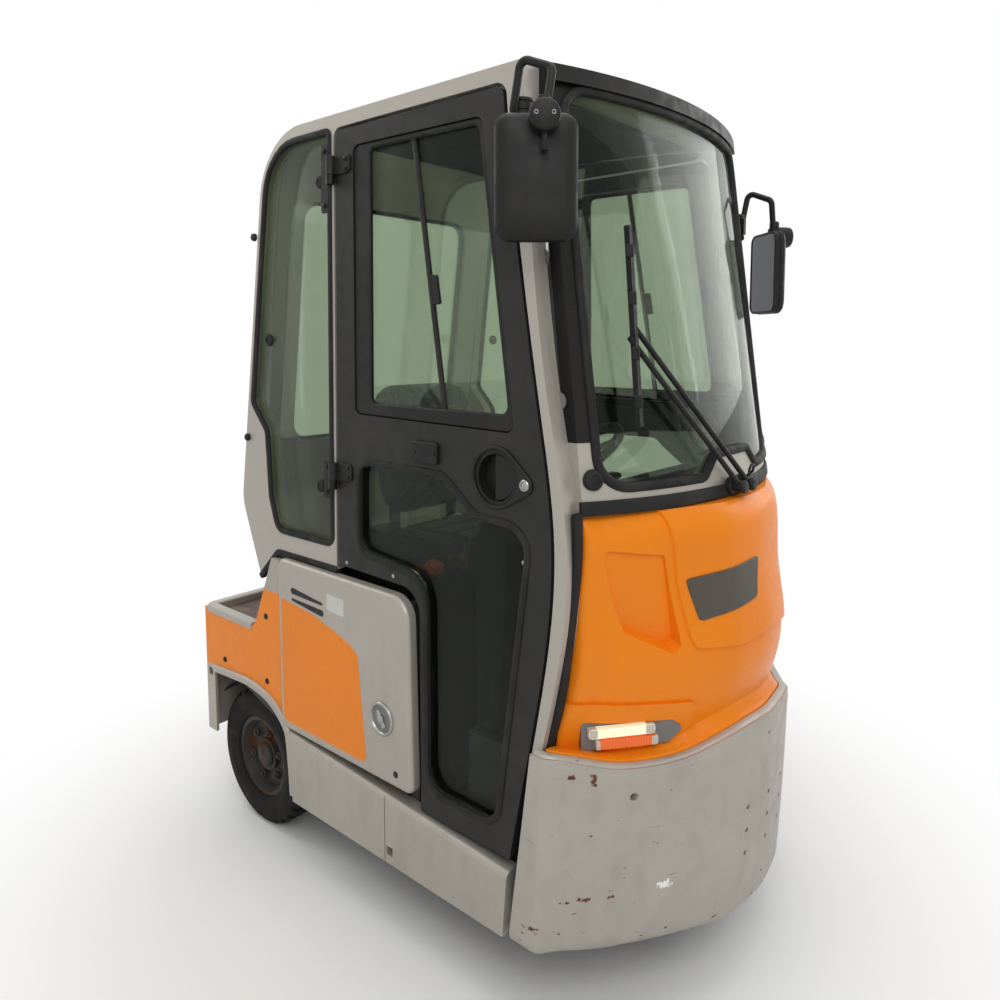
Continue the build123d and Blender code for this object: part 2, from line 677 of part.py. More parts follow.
# Bonnet: moulded cowl over the steering gear, open behind and below
# Height, front station and side station of its sections
BONNET_LEVELS = [
    (540.0, 1574.0, 1330.0),
    (720.0, 1577.0, 1346.0),
    (rise(880), 1566.0, 1362.0),
    (rise(1000), 1554.0, 1370.0),
    (rise(1062), 1544.0, 1370.0),
    (BONNET_TOP, 1520.0, 1350.0),
]
BONNET_REAR = [(1296, 500), (1340, 760), (1368, 960), (1358, 1114)]
LAMP_Z = 627.0
LAMP_LENGTH = 226.0
LAMP_HEIGHT = 62.0
LAMP_RECESS = 8.0
LAMP_PLATE = 5.0
POCKET_Z = 920.0
POCKET_DEPTH = 12.0
POCKET_TURN_DEG = 6.0
POCKET_OUTLINE = [(-83, 98), (45, 86), (88, -99), (78, -108), (-31, -63), (-56, -13), (-85, 79)]
RAISE = 7.0
SHIELD = [(275, 1120), (261, 1020), (253, 941), (233, 828), (222, 803), (116, 793), (0, 800)]
LAMP_PAD = [(440, 500), (440, 706), (330, 694), (217, 682), (203, 670), (186, 500)]


def flank_plane(z, depth):
    """Plane on the bonnet's right flank at a height, some depth inside it."""
    below, above = [
        two for two in zip(BONNET_LEVELS, BONNET_LEVELS[1:]) if two[0][0] <= z <= two[1][0]
    ][0]
    share = (z - below[0]) / (above[0] - below[0])
    front, side = [low + share * (high - low) for low, high in zip(below[1:], above[1:])]
    points = [Vector(x, y, z) for x, y in nose_points(front, side, BONNET_HALF)]
    outer, inner = points[0], points[3]
    along = (inner - outer).normalized()
    out = Vector(along.Y, -along.X, 0)
    return Plane(origin=(outer + inner) / 2 - out * depth, x_dir=along, z_dir=out)


def lamp_outline(inset):
    """Recess of a lamp unit: square at the outer end, pointed towards the middle."""
    half = LAMP_LENGTH / 2 - inset
    high = LAMP_HEIGHT / 2 - inset
    with BuildSketch() as outline:
        with BuildLine():
            tip = [(half - 26, high - 12), (half, -2), (half - 34, -high)]
            Polyline((-half, -high), (-half, high), *tip, close=True)
        make_face()
        fillet(outline.vertices(), radius=7)
    return outline.sketch


def pocket_outline(grow):
    """Scoop in the bonnet's flank: straight along its top, drawn down towards the shield."""
    with BuildSketch() as outline:
        with BuildLine():
            Polyline(POCKET_OUTLINE, close=True)
        make_face()
        fillet(outline.vertices(), radius=5)
        if grow:
            offset(amount=grow, kind=Kind.INTERSECTION, mode=Mode.REPLACE)
    return outline.sketch


def pocket_plane(depth):
    """Floor of the pocket, deeper towards the middle of the bonnet."""
    return flank_plane(rise(POCKET_Z), POCKET_DEPTH + depth).rotated((0, POCKET_TURN_DEG, 0))


def both_hands(solid, mode):
    """Apply a right-hand solid and its mirror image to the part in hand."""
    add(solid, mode=mode)
    mirror(solid, about=Plane.XZ, mode=mode)


# Shield in the middle and pads round the lamps, proud of the bonnet
with BuildPart() as proud:
    for level, front, side in BONNET_LEVELS:
        with BuildSketch(Plane.XY.offset(level)):
            add(nose_outline(front, side, BONNET_HALF, -RAISE))
    loft()
    with BuildSketch(Plane.YZ.offset(at(NOSE_BACK))) as forms:
        with BuildLine():
            other_half = [(-y, z) for y, z in reversed(SHIELD[:-1])]
            Polyline([(y, rise(z)) for y, z in SHIELD + other_half], close=True)
        make_face()
        fillet(forms.vertices().filter_by(lambda v: abs(v.X) > 200 and v.Y < BELT), radius=12)
        for hand in (-1, 1):
            with BuildLine():
                Polyline([(hand * y, z) for y, z in LAMP_PAD], close=True)
            make_face()
    extrude(amount=BODY_LENGTH, mode=Mode.INTERSECT)

# Inside of the bonnet, clear of the pockets' backs
with BuildPart() as hollow:
    for level, front, side in BONNET_LEVELS:
        below_top = level - BONNET_WALL * (level == BONNET_TOP)
        with BuildSketch(Plane.XY.offset(below_top)):
            add(nose_outline(front, side, BONNET_HALF, BONNET_WALL))
    loft()
    with BuildSketch(pocket_plane(BONNET_WALL)):
        add(pocket_outline(BONNET_WALL))
    backing = extrude(amount=90, mode=Mode.PRIVATE)
    both_hands(backing, Mode.SUBTRACT)

with BuildPart() as bonnet:
    for level, front, side in BONNET_LEVELS:
        with BuildSketch(Plane.XY.offset(level)):
            add(nose_outline(front, side, BONNET_HALF))
    loft()
    add(proud.part)
    with BuildSketch(pocket_plane(0)):
        add(pocket_outline(0))
    scoop = extrude(amount=60, taper=-14, mode=Mode.PRIVATE)
    both_hands(scoop, Mode.SUBTRACT)
    add(hollow.part, mode=Mode.SUBTRACT)
    with BuildSketch(Plane.XZ.offset(-HALF)):
        with BuildLine():
            edge = Polyline(stations(BONNET_REAR))
            Polyline(edge @ 1, (at(NOSE_BACK - 30), BONNET_TOP + 20), (at(NOSE_BACK - 30), 500), edge @ 0)
        make_face()
    extrude(amount=2 * HALF, mode=Mode.SUBTRACT)
    with BuildSketch(Plane.YZ.offset(at(NOSE_BACK) - 20)):
        with BuildLine():
            line = Spline(parting(PARTING_GAP))
            Polyline(line @ 1, (-HALF - 10, 400), (HALF + 10, 400), line @ 0)
        make_face()
    extrude(amount=BODY_LENGTH, mode=Mode.SUBTRACT)
    with BuildSketch(flank_plane(LAMP_Z, -30)):
        add(lamp_outline(0))
    recess = extrude(amount=-80, mode=Mode.PRIVATE)
    both_hands(recess, Mode.SUBTRACT)
keep(bonnet, "bonnet")


def pair(builder, label):
    """Write a right-hand piece and its mirror image as one node."""
    with BuildPart() as two:
        add(builder.part)
        mirror(builder.part, about=Plane.XZ)
    keep(two, label)


# Lamp units: a back plate on the bonnet's inside, a head lamp bar and an indicator below it
with BuildPart() as lamp_back:
    with BuildSketch(flank_plane(LAMP_Z, LAMP_RECESS)):
        add(lamp_outline(SEAT_GAP))
    extrude(amount=-LAMP_PLATE)
pair(lamp_back, "lamp_housings")

with BuildPart() as headlamp:
    with BuildSketch(flank_plane(LAMP_Z, LAMP_RECESS)):
        with Locations((-28, 10)):
            RectangleRounded(144, 20, 7)
    extrude(amount=LAMP_RECESS + 6)
pair(headlamp, "headlamps")

with BuildPart() as indicator:
    with BuildSketch(flank_plane(LAMP_Z, LAMP_RECESS)):
        with Locations((-16, -15)):
            RectangleRounded(134, 20, 6)
    extrude(amount=LAMP_RECESS + 5)
pair(indicator, "indicators")

# Cab side frames: rear corner, roof rail and front pillar round the quarter window and the door
CAB_REAR_KNEE = (212.0, 985.0)
CAB_REAR_TOP = 345.0
ROOF_FRONT = 1250.0
KNEE_RADIUS = 120.0
ROOF_REAR_RADIUS = 190.0
SILL_LINE = 862.0
PILLAR_FRONT = [(1272, 1640), (1318, 1320), (1371, 1000), (1337, 718)]
DOOR_TOP = DRAWN_HEIGHT - ROOF_RAIL
DOOR_FRONT = [(1232, 1650), (1290, 1310), (1331, 1030), (1300, 703)]
DOOR_FRONT_TOP = 1195.0
DOOR_FRONT_FOOT = 1231.0
DOOR_FOOT = 346.0
DOOR_FOOT_REAR = 960.0
DOOR_STEP = 872.0


def door_outline(grow):
    """The door, or the opening it sits in: full width above, stepped round the battery cover below."""
    step_rear = DOOR_FOOT_REAR - 6 - grow
    with BuildSketch() as outline:
        with BuildLine():
            foot = Polyline(
                stations(
                    [
                        (DOOR_FRONT_FOOT + grow, DOOR_FOOT - grow),
                        (DOOR_FOOT_REAR - grow, DOOR_FOOT - grow),
                        (step_rear, DOOR_STEP - 4 - grow),
                        (DOOR_REAR - grow, DOOR_STEP + 4 - grow),
                        (DOOR_REAR - grow, DOOR_TOP + grow),
                        (DOOR_FRONT_TOP + grow, DOOR_TOP + grow),
                    ]
                )
            )
            Spline(foot @ 1, *stations([(s + grow, z) for s, z in DOOR_FRONT]), foot @ 0)
        make_face()
        fillet(corner(outline, step_rear, DOOR_STEP - 4 - grow), radius=62 - grow)
        fillet(corner(outline, DOOR_REAR - grow, DOOR_TOP + grow), radius=18 + grow)
        fillet(corner(outline, DOOR_FRONT_TOP + grow, DOOR_TOP + grow), radius=22 + grow)
    return outline.sketch


def upper_window(grow):
    with BuildSketch() as outline:
        with BuildLine():
            Polyline(stations([(724, 1262), (722, 1904), (1137, 1899), (1233, 1252)]), close=True)
        make_face()
        fillet(outline.vertices(), radius=20)
        if grow:
            offset(amount=grow, kind=Kind.INTERSECTION, mode=Mode.REPLACE)
    return outline.sketch


LOWER_WINDOW = [
    (736, 1147, 36),
    (1030, 1147, 60),
    (1128, 1070, 50),
    (1279, 1062, 60),
    (1195, 402, 52),
    (979, 402, 60),
    (972, 900, 70),
    (734, 924, 42),
]


def lower_window(grow):
    with BuildSketch() as outline:
        with BuildLine():
            Polyline(stations([(s, z) for s, z, _ in LOWER_WINDOW]), close=True)
        make_face()
        for s, z, radius in LOWER_WINDOW:
            fillet(corner(outline, s, z), radius=radius)
        if grow:
            offset(amount=grow, kind=Kind.INTERSECTION, mode=Mode.REPLACE)
    return outline.sketch


QUARTER_WINDOW = [
    (632, 1952, 14),
    (363, 1952, 140),
    (271, 1268, 30),
    (341, 1192, 45),
    (356, 1010, 60),
    (388, 922, 40),
    (632, 922, 24),
]


def quarter_window(grow):
    with BuildSketch() as outline:
        with BuildLine():
            Polyline(stations([(s, z) for s, z, _ in QUARTER_WINDOW]), close=True)
        make_face()
        for s, z, radius in QUARTER_WINDOW:
            fillet(corner(outline, s, z), radius=radius)
        if grow:
            offset(amount=grow, kind=Kind.INTERSECTION, mode=Mode.REPLACE)
    return outline.sketch


HINGE_STATION = 651.0
HINGE_OUT = 12.0
HINGE_LEVELS = (rise(1092), rise(1842))
HINGE_PIN = 6.0
HINGE_KNUCKLE = 11.0
HINGE_HEIGHT = 44.0
HINGE_LEAF = 6.0


def hinge_plane(level):
    """Plane across a door hinge's pin at a height up the cab side."""
    lean = radians(CAB_LEAN_DEG)
    foot = side_plane(-HINGE_OUT).origin
    up = Vector(0, sin(lean), cos(lean))
    return Plane(origin=foot + up * level + Vector(at(HINGE_STATION), 0, 0), x_dir=(1, 0, 0), z_dir=up)


with BuildPart() as cab_side:
    with BuildSketch(side_plane()) as side_sketch:
        with BuildLine():
            rear = Polyline(
                stations(
                    [
                        (1301, PILLAR_FOOT),
                        (1200, PILLAR_FOOT),
                        (1200, 1000),
                        (DOOR_REAR - 4, 1000),
                        (DOOR_REAR - 4, SILL_LINE),
                        (384, SILL_LINE),
                        (CAB_REAR_FOOT, CAB_FLOOR),
                        CAB_REAR_KNEE,
                        (CAB_REAR_TOP, DRAWN_HEIGHT),
                        (ROOF_FRONT, DRAWN_HEIGHT),
                    ]
                )
            )
            Spline(rear @ 1, *stations(PILLAR_FRONT), rear @ 0)
        make_face()
        fillet(corner(side_sketch, *CAB_REAR_KNEE), radius=KNEE_RADIUS)
        fillet(corner(side_sketch, CAB_REAR_TOP, DRAWN_HEIGHT), radius=ROOF_REAR_RADIUS)
        add(door_outline(DOOR_GAP), mode=Mode.SUBTRACT)
        add(quarter_window(0), mode=Mode.SUBTRACT)
    extrude(amount=-CAB_WALL)
    # Hinge lugs and pins behind the door
    for level in HINGE_LEVELS:
        with BuildSketch(hinge_plane(level - HINGE_HEIGHT / 2 - 1)):
            Circle(HINGE_KNUCKLE)
            with Locations((-HINGE_KNUCKLE, HINGE_OUT - HINGE_LEAF / 2)):
                Rectangle(2 * HINGE_KNUCKLE - 6, HINGE_LEAF)
        extrude(amount=HINGE_HEIGHT / 2)
        with BuildSketch(hinge_plane(level - HINGE_HEIGHT / 2 - 1)):
            Circle(HINGE_PIN)
        extrude(amount=HINGE_HEIGHT * 1.5)
both_sides(cab_side, "cab_side")

with BuildPart() as quarter_glass:
    with BuildSketch(side_plane(8)):
        add(quarter_window(-SEAT_GAP))
    extrude(amount=-GLASS)
pair(quarter_glass, "quarter_windows")

# Doors, hinged on the pillar behind them
HANDLE = (1185.0, 1158.0)
HANDLE_RADIUS = 58.0
with BuildPart() as door:
    with BuildSketch(side_plane()):
        add(door_outline(0))
        add(upper_window(0), mode=Mode.SUBTRACT)
        add(lower_window(0), mode=Mode.SUBTRACT)
    extrude(amount=-DOOR_THICKNESS)
    with BuildSketch(side_plane()):
        with Locations(stations([HANDLE])[0]):
            Circle(HANDLE_RADIUS + SEAT_GAP)
    extrude(amount=-DOOR_THICKNESS, mode=Mode.SUBTRACT)
    # Hinge leaves round the pins
    for level in HINGE_LEVELS:
        with BuildSketch(hinge_plane(level)):
            Circle(HINGE_KNUCKLE)
            with Locations((HINGE_KNUCKLE + 10, HINGE_OUT - HINGE_LEAF / 2)):
                Rectangle(2 * HINGE_KNUCKLE + 18, HINGE_LEAF)
            Circle(HINGE_PIN + RUNNING_CLEARANCE, mode=Mode.SUBTRACT)
        extrude(amount=HINGE_HEIGHT)
both_sides(door, "door")

with BuildPart() as door_glass:
    with BuildSketch(side_plane(14)):
        add(upper_window(-SEAT_GAP))
        add(lower_window(-SEAT_GAP))
    extrude(amount=-GLASS)
both_sides(door_glass, "door_glass")

HANDLE_DISH = 24.0
with BuildPart() as door_handle:
    with BuildSketch(side_plane()):
        with Locations(stations([HANDLE])[0]):
            Circle(HANDLE_RADIUS)
    extrude(amount=-DOOR_THICKNESS)
    with BuildSketch(side_plane()):
        with Locations(stations([HANDLE])[0]):
            Circle(HANDLE_RADIUS - 8)
    extrude(amount=-HANDLE_DISH, mode=Mode.SUBTRACT)
    with BuildSketch(side_plane(HANDLE_DISH)):
        with Locations(stations([HANDLE])[0]):
            Circle(HANDLE_RADIUS - 11)
        with Locations(stations([(HANDLE[0] - HANDLE_RADIUS - 4, HANDLE[1])])[0]):
            Rectangle(2 * HANDLE_RADIUS, 3 * HANDLE_RADIUS, mode=Mode.SUBTRACT)
    extrude(amount=HANDLE_DISH - 4)
    with BuildSketch(side_plane(HANDLE_DISH)):
        with Locations(stations([(HANDLE[0] - 4, HANDLE[1])])[0]):
            Rectangle(10, 2 * HANDLE_RADIUS - 12)
    extrude(amount=HANDLE_DISH - 9)
both_sides(door_handle, "door_handle")

# Rear wall of the cab, curved into the roof and floor
REAR_WINDOW_LOW = rise(1140)
REAR_WINDOW_HIGH = rise(1838)
REAR_WINDOW_HALF = HALF - 168


def rear_profile(inset):
    """Side view of the rear of the cab, less an inset."""
    with BuildSketch() as profile:
        with BuildLine():
            Polyline(
                stations(
                    [
                        (CAB_REAR_FOOT, CAB_FLOOR),
                        CAB_REAR_KNEE,
                        (CAB_REAR_TOP, DRAWN_HEIGHT),
                        (ROOF_START + 100, DRAWN_HEIGHT),
                        (ROOF_START + 100, CAB_FLOOR),
                    ]
                ),
                close=True,
            )
        make_face()
        fillet(corner(profile, *CAB_REAR_KNEE), radius=KNEE_RADIUS)
        fillet(corner(profile, CAB_REAR_TOP, DRAWN_HEIGHT), radius=ROOF_REAR_RADIUS)
        if inset:
            offset(amount=-inset, kind=Kind.INTERSECTION, mode=Mode.REPLACE)
    return profile.sketch


def rear_window_outline(grow):
    height = REAR_WINDOW_HIGH - REAR_WINDOW_LOW
    with BuildSketch(Plane.YZ.offset(at(0))) as outline:
        with Locations((0, REAR_WINDOW_LOW + height / 2)):
            RectangleRounded(2 * (REAR_WINDOW_HALF + grow), height + 2 * grow, 60)
    return outline.sketch


rear_half = side_y(CAB_HEIGHT, CAB_WALL) - SEAT_GAP
with BuildPart() as cab_rear_frame:
    with BuildSketch(Plane.XZ.offset(-rear_half)):
        add(rear_profile(0))
        add(rear_profile(CAB_REAR_WALL), mode=Mode.SUBTRACT)
        with Locations((at(ROOF_START + 300), CAB_HEIGHT / 2)):
            Rectangle(600, 2 * CAB_HEIGHT, mode=Mode.SUBTRACT)
        with Locations((at(CAB_FLOOR_FRONT + 300), CAB_FLOOR)):
            Rectangle(600, CAB_FLOOR, mode=Mode.SUBTRACT)
    extrude(amount=2 * rear_half)
    extrude(rear_window_outline(0), amount=400, mode=Mode.SUBTRACT)
keep(cab_rear_frame, "cab_rear_frame")

with BuildPart() as rear_window:
    with BuildSketch(Plane.XZ.offset(-rear_half)):
        add(rear_profile(8))
        add(rear_profile(8 + GLASS), mode=Mode.SUBTRACT)
    extrude(amount=2 * rear_half)
    extrude(rear_window_outline(-SEAT_GAP), amount=400, mode=Mode.INTERSECT)
keep(rear_window, "rear_window")

# Cab front: bowed and raked frame round the windscreen
SCREEN_FOOT_SIDE = 1374.0
SCREEN_FOOT_FRONT = 1502.0
SCREEN_TOP_SIDE = 1264.0
SCREEN_TOP_FRONT = 1344.0
SCREEN_TOP = CAB_HEIGHT - 3
SCREEN_HALF = HALF - 106


def bow(level, side, front, near, far):
    """Plan of the bowed front at a level, between two depths behind its outer face."""
    half = side_y(level, CAB_WALL) - SEAT_GAP
    with BuildSketch(Plane.XY.offset(level)) as plan:
        with BuildLine():
            outer = ThreePointArc((at(side - near), -half), (at(front - near), 0), (at(side - near), half))
            inner = ThreePointArc((at(side - far), half), (at(front - far), 0), (at(side - far), -half))
            Line(outer @ 1, inner @ 0)
            Line(inner @ 1, outer @ 0)
        make_face()
    return plan.sketch


def screen_outline(grow):
    """Front view of the windscreen, with the notch over the wiper's spindle."""
    with BuildSketch(Plane.YZ.offset(at(1100))) as outline:
        with BuildLine():
            right = [(-SCREEN_HALF + 8, 1946), (-SCREEN_HALF, 1146), (-130, 1146), (-80, 1192)]
            left = [(-y, z) for y, z in reversed(right)]
            Polyline([(y, rise(z)) for y, z in right + left], close=True)
        make_face()
        fillet(outline.vertices().filter_by(lambda v: abs(v.Y) > 200), radius=62)
        fillet(outline.vertices().filter_by(lambda v: abs(v.Y) < 200), radius=24)
        if grow:
            offset(amount=grow, kind=Kind.INTERSECTION, mode=Mode.REPLACE)
    return outline.sketch


with BuildPart() as cab_front_frame:
    loft([bow(SCUTTLE_BOTTOM, SCREEN_FOOT_SIDE, SCREEN_FOOT_FRONT, 0, FRONT_WALL).face(),
          bow(SCREEN_TOP, SCREEN_TOP_SIDE, SCREEN_TOP_FRONT, 0, FRONT_WALL).face()])
    extrude(screen_outline(0), amount=600, mode=Mode.SUBTRACT)
keep(cab_front_frame, "cab_front_frame")

with BuildPart() as windscreen:
    loft([bow(SCUTTLE_BOTTOM, SCREEN_FOOT_SIDE, SCREEN_FOOT_FRONT, 6, 6 + GLASS).face(),
          bow(SCREEN_TOP, SCREEN_TOP_SIDE, SCREEN_TOP_FRONT, 6, 6 + GLASS).face()])
    extrude(screen_outline(-SEAT_GAP), amount=600, mode=Mode.INTERSECT)
keep(windscreen, "windscreen")

# Visor along the windscreen's top edge
VISOR_HEIGHT = 34.0
VISOR_REACH = 14.0
with BuildPart() as visor:
    down = VISOR_HEIGHT / (SCREEN_TOP - SCUTTLE_BOTTOM)
    visor_side = SCREEN_TOP_SIDE + down * (SCREEN_FOOT_SIDE - SCREEN_TOP_SIDE)
    visor_front = SCREEN_TOP_FRONT + down * (SCREEN_FOOT_FRONT - SCREEN_TOP_FRONT)
    loft([bow(SCREEN_TOP - VISOR_HEIGHT, visor_side, visor_front, -VISOR_REACH, -SEAT_GAP).face(),
          bow(SCREEN_TOP, SCREEN_TOP_SIDE, SCREEN_TOP_FRONT, -VISOR_REACH, -SEAT_GAP).face()])
keep(visor, "screen_visor")

# Roof between the side frames
with BuildPart() as cab_roof:
    roof_side = SCREEN_TOP_SIDE - FRONT_WALL - 1
    roof_front = SCREEN_TOP_FRONT - FRONT_WALL - 1
    with BuildSketch(Plane.XY.offset(SCREEN_TOP - ROOF_THICKNESS)):
        with BuildLine():
            right_end, left_end = (at(roof_side), -rear_half), (at(roof_side), rear_half)
            front_edge = ThreePointArc(right_end, (at(roof_front), 0), left_end)
            Polyline(
                front_edge @ 1,
                (at(ROOF_START), rear_half),
                (at(ROOF_START), -rear_half),
                front_edge @ 0,
            )
        make_face()
    extrude(amount=ROOF_THICKNESS)
keep(cab_roof, "cab_roof")

# Hood over the battery, with the stop button's console beside the seat
HOOD_TOP = BATTERY_TOP + 16
HOOD_HALF = HALF - 73
HOOD_FRONT = BATTERY_FRONT + 14
CONSOLE_INNER = 245.0
CONSOLE = [(560, HOOD_TOP), (560, 930), (700, 916), (880, 836), (HOOD_FRONT, 806), (HOOD_FRONT, HOOD_TOP)]
with BuildPart() as battery_hood:
    with Locations((at((BATTERY_REAR + HOOD_FRONT) / 2), 0, (BATTERY_TOP + SEAT_GAP + HOOD_TOP) / 2)):
        Box(span(BATTERY_REAR, HOOD_FRONT), 2 * HOOD_HALF, HOOD_TOP - BATTERY_TOP - SEAT_GAP)
    front_plate = span(BATTERY_FRONT, HOOD_FRONT) - SEAT_GAP
    with Locations((at(HOOD_FRONT) - front_plate / 2, 0, (FLOOR_TOP + HOOD_TOP) / 2)):
        Box(front_plate, 2 * HOOD_HALF, HOOD_TOP - FLOOR_TOP)
    with BuildSketch(Plane.XZ.offset(CONSOLE_INNER)):
        with BuildLine():
            Polyline(stations(CONSOLE), close=True)
        make_face()
    extrude(amount=HOOD_HALF - CONSOLE_INNER)
    console_width = HOOD_HALF - CONSOLE_INNER
    high_edges = battery_hood.edges().filter_by(lambda e: e.center().Z > BELT)
    fillet(high_edges.filter_by(lambda e: abs(e.length - console_width) < 1), radius=16)
keep(battery_hood, "battery_hood")

BUTTON = (842.0, -325.0)
BUTTON_RADIUS = 24.0
with BuildPart() as stop_button:
    slope = (Vector(at(880), 0, 836) - Vector(at(700), 0, rise(916))).normalized()
    button_foot = Vector(at(700), BUTTON[1], rise(916)) + slope * (span(700, BUTTON[0]) / slope.X)
    button_plane = Plane(origin=button_foot, x_dir=slope, z_dir=Vector(-slope.Z, 0, slope.X))
    with BuildSketch(button_plane):
        Circle(BUTTON_RADIUS - 10)
    extrude(amount=14)
    with BuildSketch(button_plane.offset(14)):
        Circle(BUTTON_RADIUS)
    extrude(amount=16)
    fillet(stop_button.edges().sort_by(Axis.Z)[-1], radius=6)
keep(stop_button, "stop_button")

# Driver's place: seat on the battery's hood, dash, column and wheel
SEAT_BASE_TOP = 824.0
SEAT_FRONT = 900.0
SEAT_BACK_FOOT = 470.0
SEAT_WIDTH = 430.0
CUSHION_TOP = 912.0
BACKREST_TOP = 1320.0
with BuildPart() as seat_base:
    with BuildSketch(Plane.XY.offset(HOOD_TOP)):
        with Locations((at((SEAT_BACK_FOOT + SEAT_FRONT) / 2), 0)):
            RectangleRounded(span(SEAT_BACK_FOOT, SEAT_FRONT) - 40, SEAT_WIDTH - 40, 30)
    extrude(amount=SEAT_BASE_TOP - HOOD_TOP)
keep(seat_base, "seat_base")

with BuildPart() as seat_cushion:
    with BuildSketch(Plane.XY.offset(SEAT_BASE_TOP)):
        with Locations((at((SEAT_BACK_FOOT + SEAT_FRONT) / 2), 0)):
            RectangleRounded(span(SEAT_BACK_FOOT, SEAT_FRONT), SEAT_WIDTH, 60)
    extrude(amount=CUSHION_TOP - SEAT_BASE_TOP)
    fillet(seat_cushion.faces().sort_by(Axis.Z)[-1].edges(), radius=25)
keep(seat_cushion, "seat_cushion")

BACKREST_THICKNESS = 80.0
BACKREST_RECLINE_DEG = 8.0
with BuildPart() as seat_back:
    recline = radians(BACKREST_RECLINE_DEG)
    back_plane = Plane(
        origin=(at(SEAT_BACK_FOOT + 30), 0, CUSHION_TOP + SEAT_GAP),
        x_dir=(0, 1, 0),
        z_dir=(cos(recline), 0, sin(recline)),
    )
    with BuildSketch(back_plane):
        with Locations((0, (BACKREST_TOP - CUSHION_TOP) / 2)):
            RectangleRounded(SEAT_WIDTH - 20, BACKREST_TOP - CUSHION_TOP, 90)
    extrude(amount=BACKREST_THICKNESS)
    fillet(seat_back.faces().sort_by(Axis.X)[-1].edges(), radius=22)
keep(seat_back, "seat_back")

DASH_TOP = BONNET_TOP - BONNET_WALL - SEAT_GAP
DASH_HALF = HALF - 93
DASH_REST_REAR = 1300.0
DASH_REST_FRONT = 1400.0
DASH_REST_HALF = BONNET_HALF - 145
DASH_REST_DEPTH = 40.0
with BuildPart() as dashboard:
    with BuildSketch(Plane.XZ.offset(-DASH_HALF)):
        with BuildLine():
            rear_face = stations(
                [
                    (BULKHEAD_STATION, PILLAR_SHELF),
                    (BULKHEAD_STATION, 860),
                    (BULKHEAD_STATION - 30, 940),
                    (BULKHEAD_STATION + 30, 1060),
                ]
            )
            underside = stations([(1320, 1040), (1160, 1000), (1130, PILLAR_SHELF)])
            top = [(at(BULKHEAD_STATION + 100), DASH_TOP), (at(1320), DASH_TOP)]
            Polyline(rear_face + top + underside, close=True)
        make_face()
    extrude(amount=2 * DASH_HALF)
    with Locations((at((DASH_REST_REAR + DASH_REST_FRONT) / 2), 0, DASH_TOP - DASH_REST_DEPTH / 2)):
        Box(span(DASH_REST_REAR, DASH_REST_FRONT), 2 * DASH_REST_HALF, DASH_REST_DEPTH)
keep(dashboard, "dashboard")

COLUMN_FOOT = (1098.0, 1020.0)
COLUMN_LENGTH = 120.0
COLUMN_RAKE_DEG = 40.0
COLUMN_RADIUS = 34.0
WHEEL_RADIUS = 165.0
WHEEL_TUBE = 14.0
column_dir = Vector(-sin(radians(COLUMN_RAKE_DEG)), 0, cos(radians(COLUMN_RAKE_DEG)))
column_foot = Vector(at(COLUMN_FOOT[0]), 0, rise(COLUMN_FOOT[1]))
wheel_centre = column_foot + column_dir * COLUMN_LENGTH
with BuildPart() as steering_column:
    with BuildSketch(Plane(origin=column_foot, z_dir=column_dir)):
        Circle(COLUMN_RADIUS)
    extrude(amount=COLUMN_LENGTH - 20)
    add(dashboard.part, mode=Mode.SUBTRACT)
keep(steering_column, "steering_column")

with BuildPart() as steering_wheel:
    with BuildSketch(Plane(origin=wheel_centre - column_dir * 19.5, x_dir=(0, 1, 0), z_dir=column_dir)):
        Circle(COLUMN_RADIUS)
    extrude(amount=34)
    with BuildSketch(Plane(origin=wheel_centre, x_dir=(0, 1, 0), z_dir=column_dir)):
        with PolarLocations(WHEEL_RADIUS / 2, 3, start_angle=90):
            Rectangle(WHEEL_RADIUS, 26)
    extrude(amount=9)
    rim_plane = Plane(origin=wheel_centre, x_dir=(0, 1, 0), z_dir=(1, 0, 0)).rotated((0, -COLUMN_RAKE_DEG, 0))
    with BuildSketch(rim_plane):
        with Locations((WHEEL_RADIUS, 0)):
            Circle(WHEEL_TUBE)
    revolve(axis=Axis(wheel_centre, column_dir))
keep(steering_wheel, "steering_wheel")

# Mirrors on the front pillars: tube arms with flat heads turned towards the driver
MIRROR_STATION = 1335.0
MIRROR_Y = HALF + 32
MIRROR_TURN_DEG = 41.0
MIRROR_WIDTH = 150.0
MIRROR_HEIGHT = 226.0
MIRROR_DEPTH = 24.0
MIRROR_TUBE = 8.0
MIRROR_Z_RIGHT = rise(1736)
MIRROR_Z_LEFT = rise(1630)
MIRROR_FOOT = 1262.0
MIRROR_KNOB = 17.0


